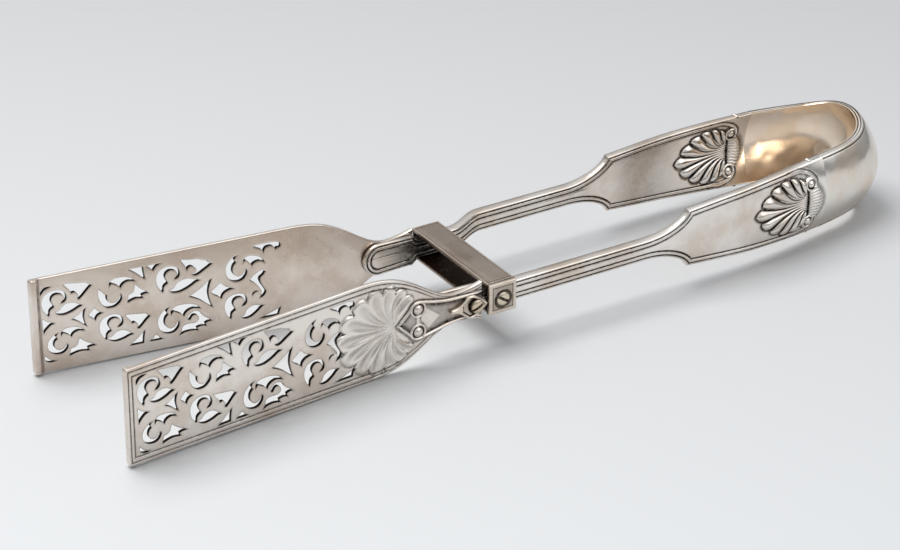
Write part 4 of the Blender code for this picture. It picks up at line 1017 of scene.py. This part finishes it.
def end_panel_cut(u, v):
    """Framed panel: a line inset 1.2 mm all round and a sunk ring for the screw's head."""
    inset = np.minimum.reduce([u, PANEL_WIDE - u, v, 2 * GUIDE_HALF - v])
    line = ridge(inset, 1.2, 0.17)
    ring = ease((2.95 - np.hypot(u - 4.5, v - 4.1)) / 0.3)
    stain = greatest(0.95 * line, 0.9 * ring, 0.35 * ease((inset - 1.2) / 0.1))
    return 0.12 * line + 0.55 * ring, stain


def plain_cut(u, v):
    """Nothing engraved and nothing dark."""
    return 0 * u, 0 * v


guide_silver = silver("handled_guide_silver", "#B5A89C", "#938477", "#2A1A12", 0.3, 1.0,
                      (6000.0, 160.0, 3000.0))
end_silver = silver("guide_end_silver", "#E2D8CC", "#C2AF9C", "#16100C", 0.24)
GUIDE_PLATES = (
    ("guide_top_plate", (GUIDE_LEFT_X, GUIDE_NEAR_Y, GUIDE_CLEAR),
     (GUIDE_RIGHT_X, GUIDE_FAR_Y, GUIDE_HALF), 2, 1, long_plate_cut, guide_silver),
    ("guide_bottom_plate", (GUIDE_LEFT_X, GUIDE_NEAR_Y, -GUIDE_HALF),
     (GUIDE_RIGHT_X, GUIDE_FAR_Y, -GUIDE_CLEAR), 2, -1, long_plate_cut, guide_silver),
    ("guide_near_end", (GUIDE_RIGHT_X - PANEL_WIDE, GUIDE_NEAR_Y - 1.4, -GUIDE_HALF),
     (GUIDE_RIGHT_X, GUIDE_NEAR_Y + 0.1, GUIDE_HALF), 1, -1, end_panel_cut, end_silver),
    ("guide_far_end", (GUIDE_LEFT_X, GUIDE_FAR_Y - 1.1, -GUIDE_CLEAR),
     (GUIDE_RIGHT_X, GUIDE_FAR_Y, GUIDE_CLEAR), 1, 1, plain_cut, guide_silver),
)
for node, low, high, axis, sign, cut, material in GUIDE_PLATES:
    plate = engraved_plate(node + "_engraved", low, high, axis, sign, cut)
    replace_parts(dress(plate, material, "near_side"), node)

# Screws. Three turned silver screws with low domed heads, each slot sawn by hand and never
# quite level. One holds the guide, and one clamps each leaf plate and tang to its arm.
SLOT_ROWS = np.unique(np.concatenate([
    np.sin(np.linspace(-1, 1, 31) * math.radians(86)), [-0.2, -0.16, -0.13, 0.13, 0.16, 0.2]]))
SCREW_HEAD = 2.1
screw_silver = silver("turned_screw_silver", "#EFE6D8", "#CDBB9F", "#150F0B", 0.2)
# Name, side, place, how far out the crown and the foot stand, and the slot's turn
SCREWS = (
    ("guide_screw", "near", (-113.5, -0.5), 24.78, 20.7, -33),
    ("near_tang_screw", "near", LEAF_SCREW, 24.78, 19.35, 25),
    ("far_tang_screw", "far", LEAF_SCREW, 17.88, 12.45, 25))
for node, side, (x, level), crown, foot, turn in SCREWS:
    along, over = disc(SCREW_HEAD, SLOT_ROWS, 31)
    dome = 0.3 + 0.7 * np.sqrt(np.maximum(0, 1 - (along**2 + over**2) / (SCREW_HEAD**2 + 0.04)))
    slot = ease((0.4 - np.abs(over)) / 0.09)
    shade = np.maximum(0.95 * slot, 0.7 * ridge(np.hypot(along, over), SCREW_HEAD, 0.2))
    along, over = turned_by(turn, along, over)
    sheets = [placed(side, x + size * along, y, level + size * over)
              for size, y in ((1.0, crown - 1.0 + dome - 0.6 * slot), (0.48, foot))]
    screw = closed_sheet(node + "_slotted", *sheets, shade, 0.5)
    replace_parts(dress(screw, screw_silver, side + "_side"), node)

# Light and floor. A pale seamless table under one large soft lamp and a pale room, at a
# level where white renders white.
scene = bpy.context.scene
scene.view_settings.view_transform = "Standard"
floor_mesh = bpy.data.meshes.new("pale_table")
floor_mesh.from_pydata([(-4, -4, 0), (4, -4, 0), (4, 4, 0), (-4, 4, 0)], [], [(0, 1, 2, 3)])
floor = bpy.data.objects.new("pale_table", floor_mesh)
scene.collection.objects.link(floor)
table = bpy.data.materials.new("matt_white_table")
table.use_nodes = True
ground = node_of(table, "TexCoord").outputs["Object"]
# The table is painted a little greyer towards the back and the right: painted shade where the
# light falls off
away = node_of(table, "VectorMath", {0: ground, 1: (0.527, 0.85, 0.0)},
               operation="DOT_PRODUCT")
painted_falloff_share = node_of(table, "MapRange", {
    "Value": away.outputs["Value"], "From Min": -0.13, "From Max": 0.21})
sweep = node_of(table, "Mix", {
    "Factor": painted_falloff_share.outputs["Result"], "A": linear("#ECEFF2"), "B": linear("#D1D2D5")},
    data_type="RGBA")
matt = table.node_tree.nodes["Principled BSDF"]
table.node_tree.links.new(sweep.outputs["Result"], matt.inputs["Base Color"])
matt.inputs["Roughness"].default_value = 0.55
floor_mesh.materials.append(table)

room = bpy.data.worlds.new("pale_room")
scene.world = room
room.use_nodes = True
background = room.node_tree.nodes["Background"]
# What the silver mirrors: darker walls up to a bright ceiling, and a white card in front.
# All else gets an even light.
direction = node_of(room, "TexCoord").outputs["Generated"]
upward = node_of(room, "SeparateXYZ", {"Vector": direction}).outputs["Z"]
walls = node_of(room, "MapRange", {
    "Value": upward, "From Min": 0.1, "From Max": 0.85, "To Min": 0.36, "To Max": 1.15})
towards_card = node_of(room, "VectorMath", {0: direction, 1: (0.45, -0.62, 0.64)},
                       operation="DOT_PRODUCT")
card = node_of(room, "MapRange", {
    "Value": towards_card.outputs["Value"], "From Min": 0.8, "From Max": 0.94, "To Max": 1.1})
mirrored = node_of(room, "Math", {
    0: walls.outputs["Result"], 1: card.outputs["Result"]}, operation="ADD")
ray = node_of(room, "LightPath").outputs["Is Glossy Ray"]
level = node_of(room, "Mix", {"Factor": ray, "A": 0.55, "B": mirrored.outputs["Value"]})
background.inputs["Color"].default_value = linear("#E8E9EA")
room.node_tree.links.new(level.outputs["Result"], background.inputs["Strength"])


def set_up(name, kind, right, back, place):
    """Puts a lamp or a camera at a place, from its own directions to the right and back."""
    holder = bpy.data.objects.new(name, kind)
    turned = np.eye(4)
    turned[:3, :3] = np.stack([right, np.cross(back, right), back], axis=1)
    turned[:3, 3] = place
    holder.matrix_world = Matrix(turned)
    scene.collection.objects.link(holder)
    return holder


def soft_lamp(name, place, target, size, power, colour):
    """Large square lamp whose back points straight away from a target."""
    lamp = bpy.data.lights.new(name, "AREA")
    lamp.shape, lamp.size, lamp.energy, lamp.color = "SQUARE", size, power, colour
    back = (np.array(place) - target) / np.linalg.norm(np.array(place) - target)
    right = np.cross((0, 1, 0.01), back)
    set_up(name, lamp, right / np.linalg.norm(right), back, place)


soft_lamp("overhead_softbox", (-0.25, 0.35, 1.1), (0, 0, 0), 0.8, 9.5, (1.0, 0.99, 0.97))

# Camera. The photograph's view: from the left front at 28 degrees, through a long lens.
# Its place and lens were solved on the photograph from stations along both arms.
CAMERA_TURN, CAMERA_TILT = math.radians(-31.81), math.radians(28.01)
view = bpy.data.cameras.new("view")
view.sensor_width, view.lens, view.clip_end = 36.0, 131.92, 20.0
to_right = np.array([math.cos(CAMERA_TURN), math.sin(CAMERA_TURN), 0.0])
backward = np.array([math.sin(CAMERA_TURN) * math.cos(CAMERA_TILT),
                     -math.cos(CAMERA_TURN) * math.cos(CAMERA_TILT), math.sin(CAMERA_TILT)])
scene.camera = set_up("view", view, to_right, backward, (-0.4461, -0.6945, 0.4463))
